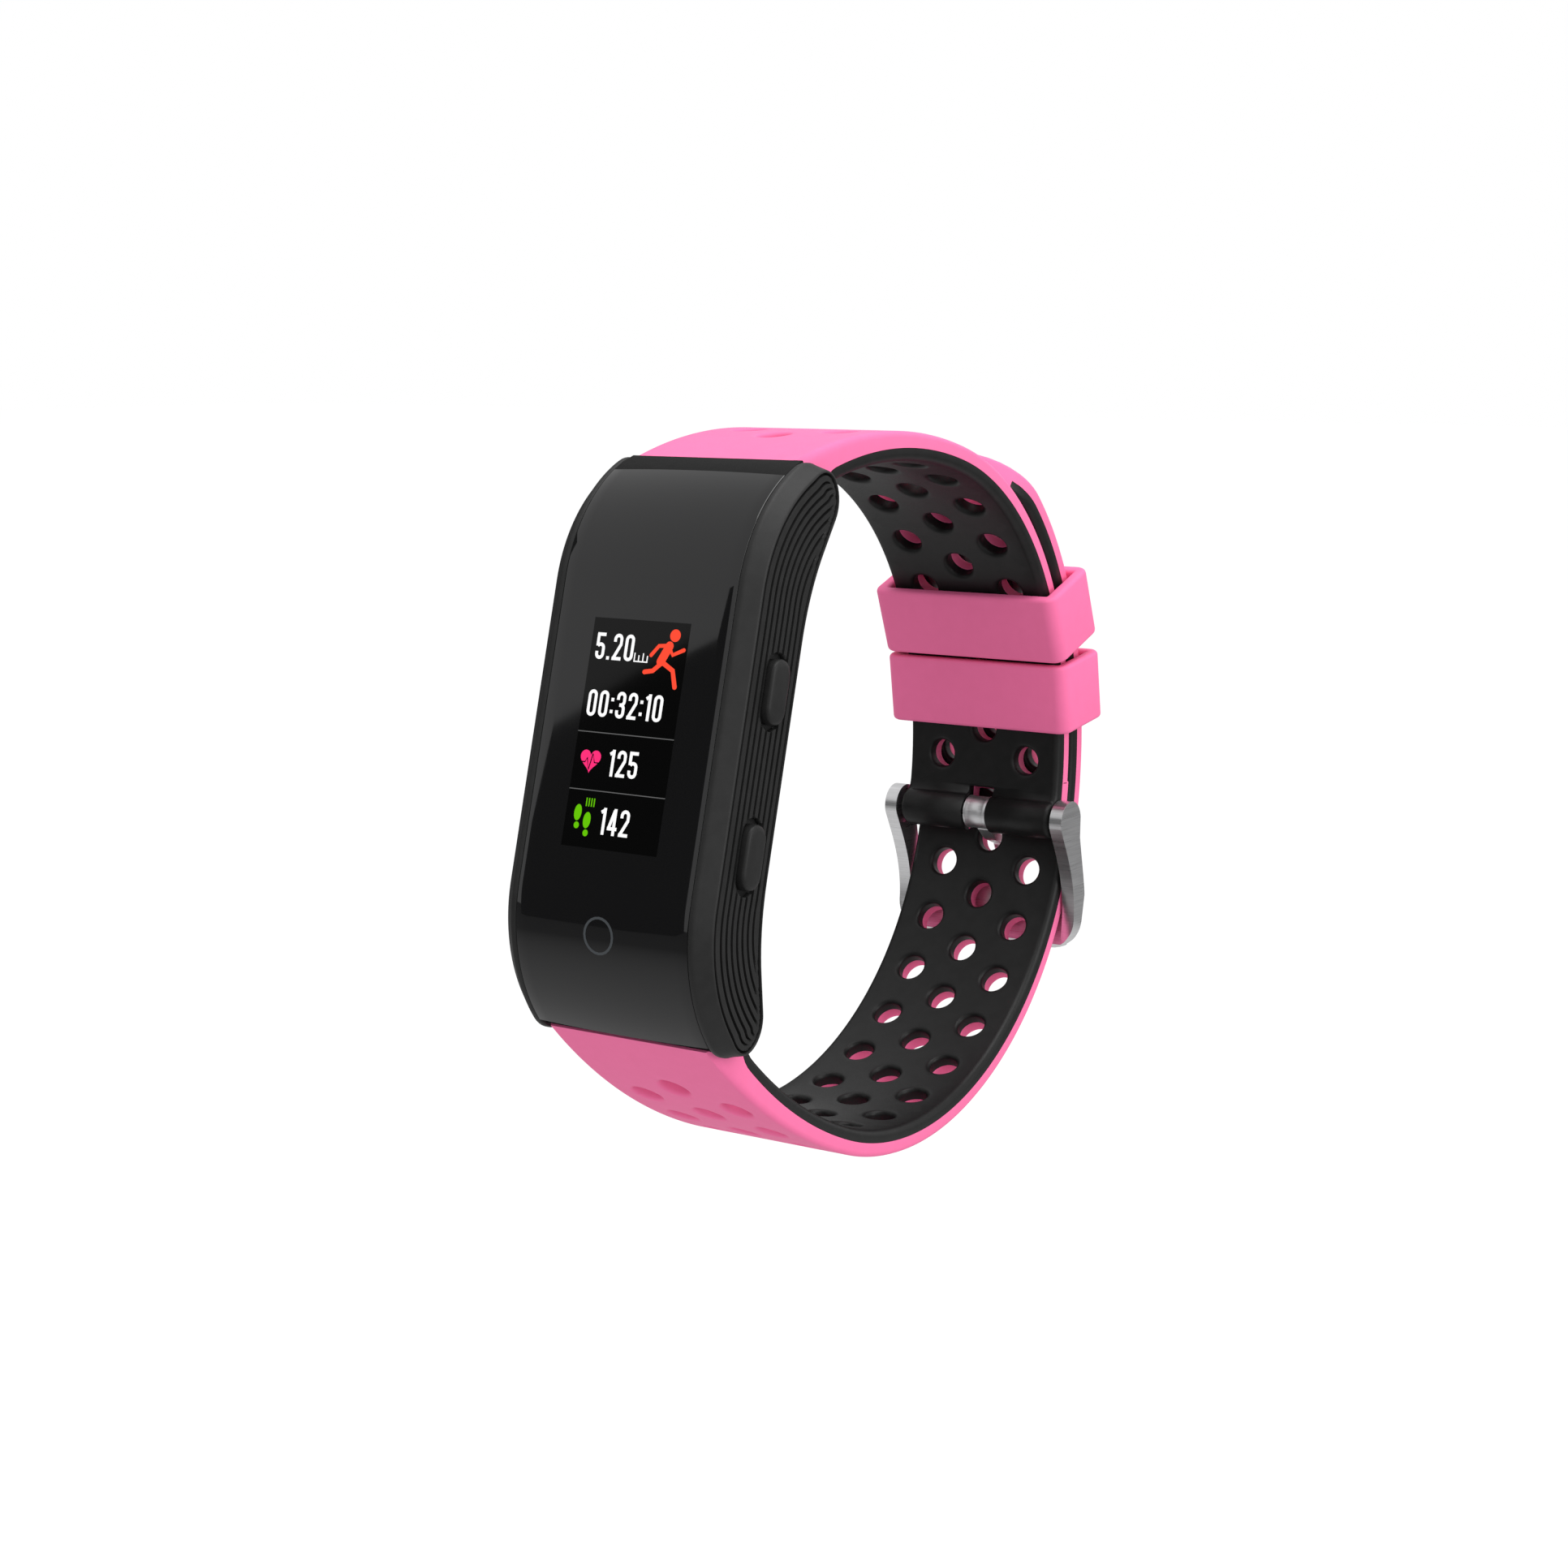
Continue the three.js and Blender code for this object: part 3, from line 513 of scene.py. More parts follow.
class Layer:
    """A flat plan of one layer, with its holes, that is then laid along the strap's track."""

    RIM_STEPS = 4
    EDGE_STEPS = 4
    ACROSS = 10  # mesh steps across a column

    LATTICE = range(-80, 500)  # mesh steps before and after the first hole

    def __init__(self, track, columns, start, end, tip=0):
        self.track, self.tip, self.end = track, tip, end
        self.plan = []
        self.rims = []
        self.faces = []
        self.lookup = {}
        first = min(holes[0] for holes in columns.values())
        step = ROW_PITCH / ROW_CUTS
        lattice = [first + k * step for k in self.LATTICE]
        inside = [s for s in lattice if start + step / 2 < s < end - step / 2]
        if tip:
            corner = [tip * (1 - math.cos(math.radians(a))) + start for a in range(0, 90, 9)]
            joint = first - ROW_PITCH / 2
            inside = [s for s in inside if s > joint - step / 4]
            inside = [s for s in corner[1:] if s < joint - step / 2] + inside
        self.rows = [start, *inside, end]
        inner = HOLE_X / 2
        outer = STRAP_HALF - LINING_FILLET
        for x, holes in columns.items():
            low, high = (-inner, inner) if x == 0 else (inner, outer)
            if x < 0:
                low, high = -outer, -inner
            self.add_column(x, low, high, holes)
        for side in (-1, 1):
            self.add_edge(side, outer)

    def vertex(self, s, x, rim=0):
        key = (round(s, 4), round(x, 4))
        if key not in self.lookup:
            self.lookup[key] = len(self.plan)
            self.plan.append((s, x))
            self.rims.append(rim)
        return self.lookup[key]

    def add_edge(self, side, outer):
        turns = [math.radians(90 * k / self.EDGE_STEPS) for k in range(self.EDGE_STEPS + 1)]
        across = [side * (outer + LINING_FILLET * math.sin(turn)) for turn in turns]
        self.add_grid(self.rows, across)

    def add_grid(self, rows, across):
        for s0, s1 in zip(rows, rows[1:]):
            for x0, x1 in zip(across, across[1:]):
                corners = ((s0, x0), (s0, x1), (s1, x1), (s1, x0))
                self.faces.append(tuple(self.vertex(s, x) for s, x in corners))

    def add_column(self, x, low, high, holes):
        across = [low + (high - low) * k / self.ACROSS for k in range(self.ACROSS + 1)]
        done = self.rows[0]
        for hole in holes:
            if not self.rows[0] < hole - HOLE_RADIUS < hole + HOLE_RADIUS < self.end:
                continue
            cell = [s for s in self.rows if abs(s - hole) <= ROW_PITCH / 2 + 1e-6]
            before = [s for s in self.rows if done <= s <= cell[0]]
            if len(before) > 1:
                self.add_grid(before, across)
            self.add_cell(hole, x, cell, across)
            done = cell[-1]
        after = [s for s in self.rows if s >= done]
        if len(after) > 1:
            self.add_grid(after, across)

    def add_cell(self, s_hole, x_hole, cell, across):
        """Rings of faces from the cell's border in to the hole."""
        border = [(cell[0], x) for x in across]
        border += [(s, across[-1]) for s in cell[1:]]
        border += [(cell[-1], x) for x in reversed(across[:-1])]
        border += [(s, across[0]) for s in reversed(cell[1:-1])]
        ring = [self.vertex(s, x) for s, x in border]
        headings = [math.atan2(x - x_hole, s - s_hole) for s, x in border]
        sizes = [HOLE_RADIUS + RIM * 1.7]
        turns = [math.radians(90 * k / self.RIM_STEPS) for k in range(self.RIM_STEPS + 1)]
        sizes += [HOLE_RADIUS + RIM * (1 - math.sin(turn)) for turn in turns]
        for size in sizes:
            rim = size - HOLE_RADIUS + 1e-9
            inner = [
                self.vertex(s_hole + size * math.cos(a), x_hole + size * math.sin(a), rim) for a in headings
            ]
            for i in range(len(ring)):
                j = (i + 1) % len(ring)
                self.faces.append((ring[i], ring[j], inner[j], inner[i]))
            ring = inner

    def narrowed(self, s, x):
        """x drawn in towards the middle where the tail's tip is rounded."""
        if s >= self.tip:
            return x
        flat = STRAP_HALF - self.tip
        half = flat + math.sqrt(self.tip**2 - (self.tip - max(s, 0)) ** 2)
        return x * half / STRAP_HALF

    def from_edge(self, s, x):
        """How far a point is inside the layer's outline."""
        if s >= self.tip:
            return STRAP_HALF - abs(x)
        past = abs(x) - (STRAP_HALF - self.tip)
        if past <= 0:
            return s
        return self.tip - math.hypot(self.tip - s, past)

    def build(self, inner, outer, inner_fillet, outer_fillet):
        """The closed solid between two depths. A depth is a number or a function of the distance."""
        solid = Solid()
        for depth, sign, radius in ((inner, 1, inner_fillet), (outer, -1, outer_fillet)):
            ring = []
            for (s, x), rim in zip(self.plan, self.rims):
                x = self.narrowed(s, x)
                drop = 0
                if radius:
                    drop = fillet(self.from_edge(s, x), radius)
                    if rim:
                        drop = max(drop, fillet(rim, RIM))
                level = depth(s) if callable(depth) else depth
                y, z = self.track.point(s, level + sign * drop)
                ring.append((x, y, z))
            solid.loop(ring)
        count = len(self.plan)
        sides = {}
        for face in self.faces:
            for a, b in zip(face, face[1:] + face[:1]):
                sides.setdefault(frozenset((a, b)), []).append((a, b))
        solid.faces = [tuple(reversed(face)) for face in self.faces]
        solid.faces += [tuple(count + i for i in face) for face in self.faces]
        for used in sides.values():
            if len(used) == 1:
                a, b = used[0]
                solid.faces.append((a, b, count + b, count + a))
        return solid


RIM = 0.42  # radius of the rounding round each hole
SEAM_GAP = 0.03
UPPER_HOLES = hole_columns(UPPER_FIRST_PAIR, UPPER_ROWS, True)
LOWER_HOLES = hole_columns(TONGUE_ROW - TAIL_ROWS * ROW_PITCH / 2, LOWER_ROWS, False)
TUBE_START = UPPER_FIRST_PAIR - 4 * ROW_PITCH / ROW_CUTS
TIP_WRAP = 3.1  # length of tail whose whole thickness is the outer layer
LINING_BACK = 0.15  # how far behind that the tail's lining starts


def tongue_slot(material):
    outline = [(30, -4), (46, -4), (46, SLOT_TOP), (30, SLOT_TOP)]
    return prism("slot", outline, -SLOT_HALF, SLOT_HALF, material)


def tube_outline(inset):
    """The hinge tube's side outline, with its front and tube surfaces moved in by the inset."""
    lap_centre, lap_radius = LAP
    low = math.degrees(math.asin((PIN_AT[1] + 2.9 - lap_centre[1]) / lap_radius))
    high = math.degrees(TUBE_START / lap_radius)
    front = arc(lap_centre, lap_radius + inset, high, low, 1)
    tube = arc(PIN_AT, TUBE_RADIUS - inset, 128, 285, 6)
    knee = polar(lap_centre, lap_radius + inset, low - 2.1)
    blend = [quadratic(front[-1], knee, tube[0], k / 6) for k in range(1, 6)]
    back_low = math.degrees(math.asin((PIN_AT[1] - lap_centre[1]) / (lap_radius + BLACK)))
    back = arc(lap_centre, lap_radius + BLACK, back_low, high, 1)
    return front + blend + tube + back


def make_tube_section():
    """The hinge tube at the upper half's end, with the lining's rounded sides and the tongue's slot."""
    rings = []
    for turn in range(0, 91, 15):
        across = STRAP_HALF - LINING_FILLET * (1 - math.sin(math.radians(turn)))
        inset = LINING_FILLET * (1 - math.cos(math.radians(turn)))
        rings.append(side_section(across, tube_outline(inset)))
    rings = [[(-x, y, z) for x, y, z in ring] for ring in reversed(rings)] + rings
    reach = STRAP_HALF + 1
    bore = prism("bore", arc(PIN_AT, PIN_BORE, 0, 350, 10), -reach, reach, BLACK_SILICONE)
    return carve(stacked("tube", rings, BLACK_SILICONE), tongue_slot(BLACK_SILICONE), bore)


def make_tube_back():
    """The outer layer's end, wrapped round the back of the tube."""
    lap_centre, lap_radius = LAP
    high = math.degrees(TUBE_START / lap_radius) + 0.4
    outside = lap_radius + STRAP
    low = math.degrees(math.asin((PIN_AT[1] + 0.6 - lap_centre[1]) / outside))
    outline = arc(lap_centre, outside, high, low, 1)
    outline += arc(PIN_AT, TUBE_RADIUS, 0, -72, 8)
    outline += arc(PIN_AT, 1.2, -72, 60, 12)
    outline += arc(lap_centre, lap_radius + BLACK + SEAM_GAP, 6.2, high, 1)
    back = prism("tube_back", outline, -STRAP_HALF, STRAP_HALF, PINK)
    carve(back, tongue_slot(PINK))
    return soften(back, 0.25, 3, 40)


def join_pieces(name, *parts):
    """One object from several, keeping each one's own shape."""
    for part in parts:
        bpy.context.view_layer.update()
        apply_modifiers(part)
    merged = bmesh.new()
    for part in parts:
        merged.from_mesh(part.data)
    mesh = parts[0].data.copy()
    merged.to_mesh(mesh)
    merged.free()
    mesh.name = name
    for part in parts:
        bpy.data.objects.remove(part)
    return add_to_scene(name, mesh)


def make_strap():
    upper = Layer(UPPER, UPPER_HOLES, TUBE_START, UPPER.length)
    inner = make_object("upper_inner", upper.build(0, BLACK, LINING_FILLET, 0), BLACK_SILICONE)
    outer = make_object("upper_outer", upper.build(BLACK + SEAM_GAP, STRAP, 0, SKIN_FILLET), PINK)
    lower = Layer(LOWER, LOWER_HOLES, 0, LOWER.length, TIP_CORNER)
    skin = lower.build(lambda s: BLACK + SEAM_GAP if s > TIP_WRAP else 0, STRAP, 0, SKIN_FILLET)
    inside = Layer(LOWER, LOWER_HOLES, TIP_WRAP + LINING_BACK, LOWER.length, TIP_CORNER)
    lining = inside.build(0, BLACK, LINING_FILLET, 0)
    pieces = (
        (join_pieces("strap_upper_lining", inner, make_tube_section()), "black", "upper_inner"),
        (join_pieces("strap_upper_skin", outer, make_tube_back()), "pink", "upper_outer"),
        (make_object("strap_lower_lining", lining, BLACK_SILICONE), "black", "lower_inner"),
        (make_object("strap_lower_skin", skin, PINK), "pink", "lower_outer"),
    )
    for piece, color, node in pieces:
        standing_for(piece, CASE_BODY, f"{color}_silicone", f"strap_{node}")


# ---- the case ------------------------------------------------------------------------------------
def unit(pair):
    return Vector(pair).normalized()


def half_profile():
    """Points and outward normals from the front's middle round one end to the rear's middle."""
    bend_centre = (FRONT + FRONT_BEND, BEND_AT)
    lean, slope = unit(LOBE_LEAN), unit(LOBE_SLOPE)
    lobe_centre = tuple(Vector(bend_centre) + lean * (FRONT_BEND - LOBE))
    joint = math.degrees(math.atan2(lean.y, lean.x))
    back = math.degrees(math.atan2(slope.y, slope.x))
    along = Vector((slope.y, -slope.x))
    heel = Vector(lobe_centre) + slope * LOBE
    corner = heel + along * ((REAR - heel.x) / along.x)
    sweep = (tuple(heel + along * 3.4), tuple(corner), (REAR, corner.y - 4.4))
    points = [(FRONT, BEND_AT * k / 8) for k in range(8)]
    points += arc(bend_centre, FRONT_BEND, 180, joint, 2)
    points += arc(lobe_centre, LOBE, joint, back, 8)[1:]
    points += [quadratic(*sweep, k / 10) for k in range(11)]
    points += [(REAR, sweep[2][1] * (1 - k / 6)) for k in range(1, 6)]
    return points


def whole_profile():
    upper = half_profile()
    lower = [(y, -z) for y, z in reversed(upper)]
    return upper + [(REAR, 0)] + lower[:-1]


PROFILE = whole_profile()


def inset_profile(front, rear):
    """The case outline moved inwards, by one amount at the front and ends and another at the rear."""
    count = len(PROFILE)
    moved = []
    for i, point in enumerate(PROFILE):
        before, after = Vector(PROFILE[i - 1]), Vector(PROFILE[(i + 1) % count])
        way = (after - before).normalized()
        normal = Vector((-way.y, way.x))
        turned = max(0, min(1, (0.75 + normal.x) / 1.4)) if normal.x > -0.75 else 0
        amount = front + (rear - front) * turned * turned * (3 - 2 * turned)
        moved.append(tuple(Vector(point) - normal * amount))
    return moved


CHEEK_RINGS = (  # x, inset at the front, inset at the rear
    (9.3, 0.16, 0.1),
    (9.38, 0.04, 0.04),
    (9.5, 0, 0),
    (9.82, 0, 0),
    (9.92, 0.05, 0.03),
    (10.04, 0.15, 0.05),
    (10.98, 0.97, 0.12),
    (11.1, 1.07, 0.15),
    (11.17, 1.14, 0.2),
    (11.2, 1.22, 0.27),
    (11.2, 1.3, 0.33),
    (11.14, 1.36, 0.37),
    (10.5, 1.38, 0.4),
)


def make_cheek(side):
    rings = []
    for x, front, rear in CHEEK_RINGS:
        rings.append(side_section(side * x, inset_profile(front, rear), CASE_RISE))
    return stacked("cheek", rings, CASE_PLASTIC)


MIDDLE_HALF = 9.32
MIDDLE_INSET = 1.1  # how far under the case's front it starts, behind the glass
WELL_HALF = 9.05  # the hollow behind it for the parts inside


def make_case_middle():
    """The body between the cheeks: under the glass, with slanted walls that the strap ends meet."""
    bend_top = (FRONT + FRONT_BEND, BEND_AT)
    bend_bottom = (FRONT + FRONT_BEND, -BEND_AT)
    outline = arc(bend_bottom, FRONT_BEND - MIDDLE_INSET, 232, 180, 4)
    outline += arc(bend_top, FRONT_BEND - MIDDLE_INSET, 180, 135, 4)
    outline += arc(bend_top, FRONT_BEND - 0.05, 134.6, 122.6, 3)
    outline += [(-14.2, 21.6), (-15.5, 18.6), (-16.7, 15.6), (REAR - 0.05, 13.6)]
    outline += [(REAR - 0.05, -13.6), (-16.7, -15.6), (-15.5, -18.6), (-14.2, -21.6), (-18.6, -25.9)]
    rings = [side_section(x, outline, CASE_RISE) for x in (-MIDDLE_HALF, MIDDLE_HALF)]
    middle = stacked("case_middle", rings, MIDDLE_PLASTIC)
    well = [(-18.2, -12.7), (-12, -12.7), (-12, 14.3), (-18.2, 14.3)]
    carve(middle, prism("well", well, -WELL_HALF, WELL_HALF, MIDDLE_PLASTIC))
    return soften(middle, 0.12, 2, 30)


TRIM_OUTER = CASE_HALF - 0.06
TRIM_FLOOR = 10.52
TRIM_ROWS = 240  # mesh steps along the panel
RIB_PITCH = 0.8
RIB_COUNT = 11
GROOVE_DEEP = 0.45
GROOVE_STEPS = (-0.16, -0.11, -0.05, 0.05, 0.11, 0.16)  # mesh steps across a groove, from its middle
GROOVE_END = 0.5  # how far a groove stays from the panel's outline
TRIM_INSET = (1.62, 0.55)  # the panel's outline inside the case's, at the front and at the rear
TIP_BACK = 0.55  # how much more a tip lies at the rear than at the end
CROWDING = 0.55  # how much closer together the mesh's steps are near both tips
RECESS_ROOM = (0.5, 1.2)  # the button's recess is wider and longer than the button by this


def panel_edges():
    """The ribbed panel's outline, as its front line and its rear line from the lower tip to the upper."""
    outline = inset_profile(*TRIM_INSET)
    count = len(outline)
    top = max(range(count), key=lambda i: outline[i][1] + TIP_BACK * outline[i][0])
    bottom = min(range(count), key=lambda i: outline[i][1] - TIP_BACK * outline[i][0])
    front = [outline[(bottom + k) % count] for k in range((top - bottom) % count + 1)]
    rear = [outline[(bottom - k) % count] for k in range((bottom - top) % count + 1)]
    return front, rear


def resample(line, count):
    """Points spread along a line, closer together near both ends."""
    lengths = [0]
    for a, b in zip(line, line[1:]):
        lengths.append(lengths[-1] + math.dist(a, b))
    result = []
    for k in range(count + 1):
        crowded = (1 - math.cos(math.pi * k / count)) / 2
        share = CROWDING * crowded + (1 - CROWDING) * k / count
        target = share * lengths[-1]
        i = min(max(j for j, length in enumerate(lengths) if length <= target + 1e-9), len(line) - 2)
        span = lengths[i + 1] - lengths[i]
        result.append(mix(line[i], line[i + 1], (target - lengths[i]) / span if span else 0))
    return result


def groove_depth(from_front, from_outline):
    """0 on a rib's top and 1 at the bottom of a groove, with grooves ended short of the outline."""
    place = from_front / RIB_PITCH
    if round(place) == 0:
        return 0
    off = abs(place - round(place)) * RIB_PITCH
    slope = max(0, min(1, (GROOVE_STEPS[-1] - off) / 0.07))
    ended = max(0, min(1, (from_outline - GROOVE_END) / 0.12))
    return slope * ended


def make_trim(side):
    """The ribbed side panel: ribs at even distances from its front edge, ended by its rear edge."""
    levels = [0, 0.06]
    for rib in range(1, RIB_COUNT + 1):
        levels += [rib * RIB_PITCH + step for step in GROOVE_STEPS]
        levels.append((rib + 0.5) * RIB_PITCH)
    front, rear = (resample(line, TRIM_ROWS) for line in panel_edges())
    border = KDTree(2 * (TRIM_ROWS + 1))
    for i, (y, z) in enumerate(front + rear):
        border.insert((y, z, 0), i)
    border.balance()
    solid = Solid()
    grids = ([], [])
    for i in range(1, TRIM_ROWS):
        along = (Vector(front[i + 1]) - Vector(front[i - 1])).normalized()
        across = Vector(rear[i]) - Vector(front[i])
        square = max(abs(along.cross(across)), 1e-6)
        lines = ([], [])
        for level in levels + [math.inf]:
            share = min(level / square, 1)
            y, z = mix(front[i], rear[i], share)
            near = border.find((y, z, 0))[2]
            x = TRIM_OUTER - GROOVE_DEEP * groove_depth(share * square, near) - fillet(near, 0.12)
            lines[0].append((side * x, y, z + CASE_RISE))
            lines[1].append((side * TRIM_FLOOR, y, z + CASE_RISE))
        for grid, line in zip(grids, lines):
            grid.append(solid.loop(line))
    rims = []
    for grid in grids:
        for a, b in zip(grid, grid[1:]):
            solid.bridge(a, b, closed=False)
        starts, ends = [row[0] for row in grid], [row[-1] for row in grid]
        rims.append(grid[0] + ends[1:-1] + grid[-1][::-1] + starts[-2:0:-1])
    solid.bridge(*rims)
    trim = make_object("trim", solid, TRIM_PLASTIC, 30)
    if side > 0:
        tools = []
        for z in BUTTON_Z.values():
            wide, long = BUTTON_WIDE + RECESS_ROOM[0], BUTTON_LONG + RECESS_ROOM[1]
            shape = obround((BUTTON_Y, z + CASE_RISE), wide, long)
            tools.append(prism("recess", shape, TRIM_FLOOR + 0.03, 12, TRIM_PLASTIC))
        carve(trim, *tools)
    return trim


BUTTON_RINGS = ((0, 10.56), (0, 11.45), (0.04, 11.6), (0.13, 11.71), (0.27, 11.78), (0.6, 11.84))  # inset, x


def make_button(z):
    rings = []
    for inset, x in BUTTON_RINGS:
        outline = obround((BUTTON_Y, z + CASE_RISE), BUTTON_WIDE - 2 * inset, BUTTON_LONG - 2 * inset)
        rings.append(side_section(x, outline))
    return stacked("button", rings, TRIM_PLASTIC, 40)


LENS_TOP = 134.5
LENS_BOTTOM = 232
LENS_CROWN = 0.2  # how far the glass's middle stands out past its long edges
LENS_THICK = 0.95
LENS_FLAT = 9.24  # half width up to its rounded edge
LENS_EDGE = 0.1  # that edge's radius
LENS_STEPS = 27


def lens_line():
    """Stations along the glass, each a bend's centre and an angle, from the bottom edge to the top."""
    stations = []
    for z, start, end in ((-BEND_AT, LENS_BOTTOM, 180), (BEND_AT, 180, LENS_TOP)):
        centre = (FRONT + FRONT_BEND, z)
        stations += [(centre, start + (end - start) * k / LENS_STEPS) for k in range(LENS_STEPS + 1)]
    return stations


def lens_point(station, x, depth):
    centre, turn = station
    y, z = polar(centre, FRONT_BEND + LENS_CROWN * (1 - (x / GLASS_HALF) ** 2) - depth, turn)
    return (x, y, z + CASE_RISE)


def make_lens():
    edge = []
    for turn in (30, 60, 90):
        angle = math.radians(turn)
        edge.append((LENS_FLAT + LENS_EDGE * math.sin(angle), LENS_EDGE * (1 - math.cos(angle))))
    rim = LENS_FLAT + LENS_EDGE
    section = [(-LENS_FLAT + 2 * LENS_FLAT * k / 16, 0) for k in range(17)] + edge
    section += [(rim, LENS_THICK), (-rim, LENS_THICK)] + [(-x, drop) for x, drop in reversed(edge)]
    rings = [[lens_point(station, x, depth) for x, depth in section] for station in lens_line()]
    return stacked("glass", rings, GLASS, 40)


def on_glass(x, z, lift):
    """A point over the flat part of the glass, a little proud of it."""
    return (x, FRONT - LENS_CROWN * (1 - (x / GLASS_HALF) ** 2) - lift, z)


# ---- what the display shows ----------------------------------------------------------------------
SCREEN_HALF = 5.19
SCREEN_LOW = -9.15
SCREEN_HIGH = 11.08
SCREEN_LIFT = 0.012
ICON_LIFT = 0.03
ICON_ROOT = -0.05  # the drawn shapes reach this far into the glass
WHITE_LIGHT = glowing("white_pixels", (1, 1, 1), 1.0)
GREY_LIGHT = glowing("grey_pixels", (0.12, 0.12, 0.12), 1.0)
ORANGE_LIGHT = glowing("orange_pixels", (1.0, 0.075, 0.035), 1.0)
PINK_LIGHT = glowing("pink_pixels", (1.0, 0.03, 0.2), 1.0)
GREEN_LIGHT = glowing("green_pixels", (0.13, 0.55, 0.0), 1.0)


def flat_shape(name, outline, material, lift=ICON_LIFT):
    """A filled shape on the glass from its outline in x and z."""
    solid = Solid()
    tops = solid.loop([on_glass(x, z, lift) for x, z in outline])
    lows = solid.loop([on_glass(x, z, ICON_ROOT) for x, z in outline])
    solid.faces.append(tuple(tops))
    solid.faces.append(tuple(reversed(lows)))
    solid.bridge(tops, lows)
    return make_object(name, solid, material)


def line_sides(points, width, closed=False):
    """The left and the right side of a line of that width through the points."""
    count = len(points)
    left, right = [], []
    for i, point in enumerate(points):
        before = points[i - 1] if closed or i else point
        after = points[(i + 1) % count] if closed or i < count - 1 else point
        way = (Vector(after) - Vector(before)).normalized()
        side = Vector((-way.y, way.x)) * width / 2
        left.append(tuple(Vector(point) + side))
        right.append(tuple(Vector(point) - side))
    return left, right


def inked(name, strokes, width, material, lift=ICON_LIFT):
    """Lines of one width on the glass. A stroke whose last point is its first one is closed."""
    solid = Solid()
    for stroke in strokes:
        closed = math.dist(stroke[0], stroke[-1]) < 1e-6
        rings = []
        for left, right in zip(*line_sides(stroke[:-1] if closed else stroke, width, closed)):
            rings.append([on_glass(*left, lift), on_glass(*right, lift)])
            rings[-1] += [on_glass(*right, ICON_ROOT), on_glass(*left, ICON_ROOT)]
        loops = solid.stack(rings, caps=not closed)
        if closed:
            solid.bridge(loops[-1], loops[0])
    return make_object(name, solid, material)


def band_line(points, width):
    """The outline of a line of that width through the points, with square ends."""
    left, right = line_sides(points, width)
    return left + right[::-1]


def limb(points, width):
    """A line with round ends, for the runner's body."""
    outline = band_line(points, width)
    count = len(points)
    caps = []
    for tip, inner in ((points[-1], points[-2]), (points[0], points[1])):
        way = Vector(tip) - Vector(inner)
        heading = math.degrees(math.atan2(way.y, way.x))
        caps.append(arc(tip, width / 2, heading + 90, heading - 90, 30))
    return outline[1 : count - 1] + caps[0] + outline[count + 1 : -1] + caps[1]


FIGURE_TALL = 2.35
FIGURE_WIDE = 0.98
FIGURE_STROKE = 0.3
FIGURE_GAP = 0.3


def draw_figures():
    """The strokes of each figure in its own box, and the box's width."""
    low = left = FIGURE_STROKE / 2
    right, high = FIGURE_WIDE - left, FIGURE_TALL - low
    bend = (right - left) / 2
    upper, lower = (left + bend, high - bend), (left + bend, low + bend)
    waist = FIGURE_TALL / 2
    dot = [(left, 0), (left, FIGURE_STROKE)]
    hook = [(left, high - 1.7 * bend), *arc(upper, bend, 180, 0, 15)]
    bowl = arc(lower, bend, 0, -180, 15) + [(left, low + 1.6 * bend)]
    ring = arc(upper, bend, 0, 180, 15) + arc(lower, bend, 180, 360, 15)
    lobe_up = arc((left + bend, waist + bend), bend, 0, -75, 15)
    lobe_down = arc((left + bend, waist - bend), bend, 75, 0, 15)
    hip = arc((left + bend, waist + low - bend), bend, 150, 0, 15)
    flag = [(0, high - 0.27), (0.37, high - 0.03)]
    return {
        "0": ([ring + ring[:1]], FIGURE_WIDE),
        "1": ([[(0.37, 0), (0.37, FIGURE_TALL)], flag], 0.52),
        "2": ([[*hook, (right, waist + 0.25), (left, low)], [(0, low), (FIGURE_WIDE, low)]], FIGURE_WIDE),
        "3": ([hook + lobe_up, lobe_down + bowl, [(0.35, waist), (0.6, waist)]], FIGURE_WIDE),
        "4": (
            [[(0.69, 0), (0.69, FIGURE_TALL)], [(0.62, high), (left, 0.62)], [(0, 0.6), (1.02, 0.6)]],
            FIGURE_WIDE,
        ),
        "5": ([[(0, high), (0.93, high)], [(left, high), (left, waist)], hip + bowl], FIGURE_WIDE),
        ".": ([dot], FIGURE_STROKE),
        ":": ([[(x, z + rise) for x, z in dot] for rise in (0.4, 1.45)], FIGURE_STROKE),
    }


FIGURES = draw_figures()


def make_figures(name, words, x, z):
    """A row of figures on the glass, from its lower left corner."""
    strokes = []
    for sign in words:
        lines, width = FIGURES[sign]
        strokes += [[(x + a, z + b) for a, b in line] for line in lines]
        x += width + FIGURE_GAP
    return inked(name, strokes, FIGURE_STROKE, WHITE_LIGHT)


def heart(x, z, size):
    outline = []
    for k in range(40):
        t = 2 * math.pi * k / 40
        across = 16 * math.sin(t) ** 3
        along = 13 * math.cos(t) - 5 * math.cos(2 * t) - 2 * math.cos(3 * t) - math.cos(4 * t)
        outline.append((x + size * across / 16, z + size * (along + 2) / 16))
    return outline


def oval(x, z, wide, tall, lean=0):
    turn = math.radians(lean)
    outline = []
    for k in range(24):
        t = 2 * math.pi * k / 24
        a, b = wide * math.cos(t), tall * math.sin(t)
        across = a * math.cos(turn) - b * math.sin(turn)
        along = a * math.sin(turn) + b * math.cos(turn)
        outline.append((x + across, z + along))
    return outline


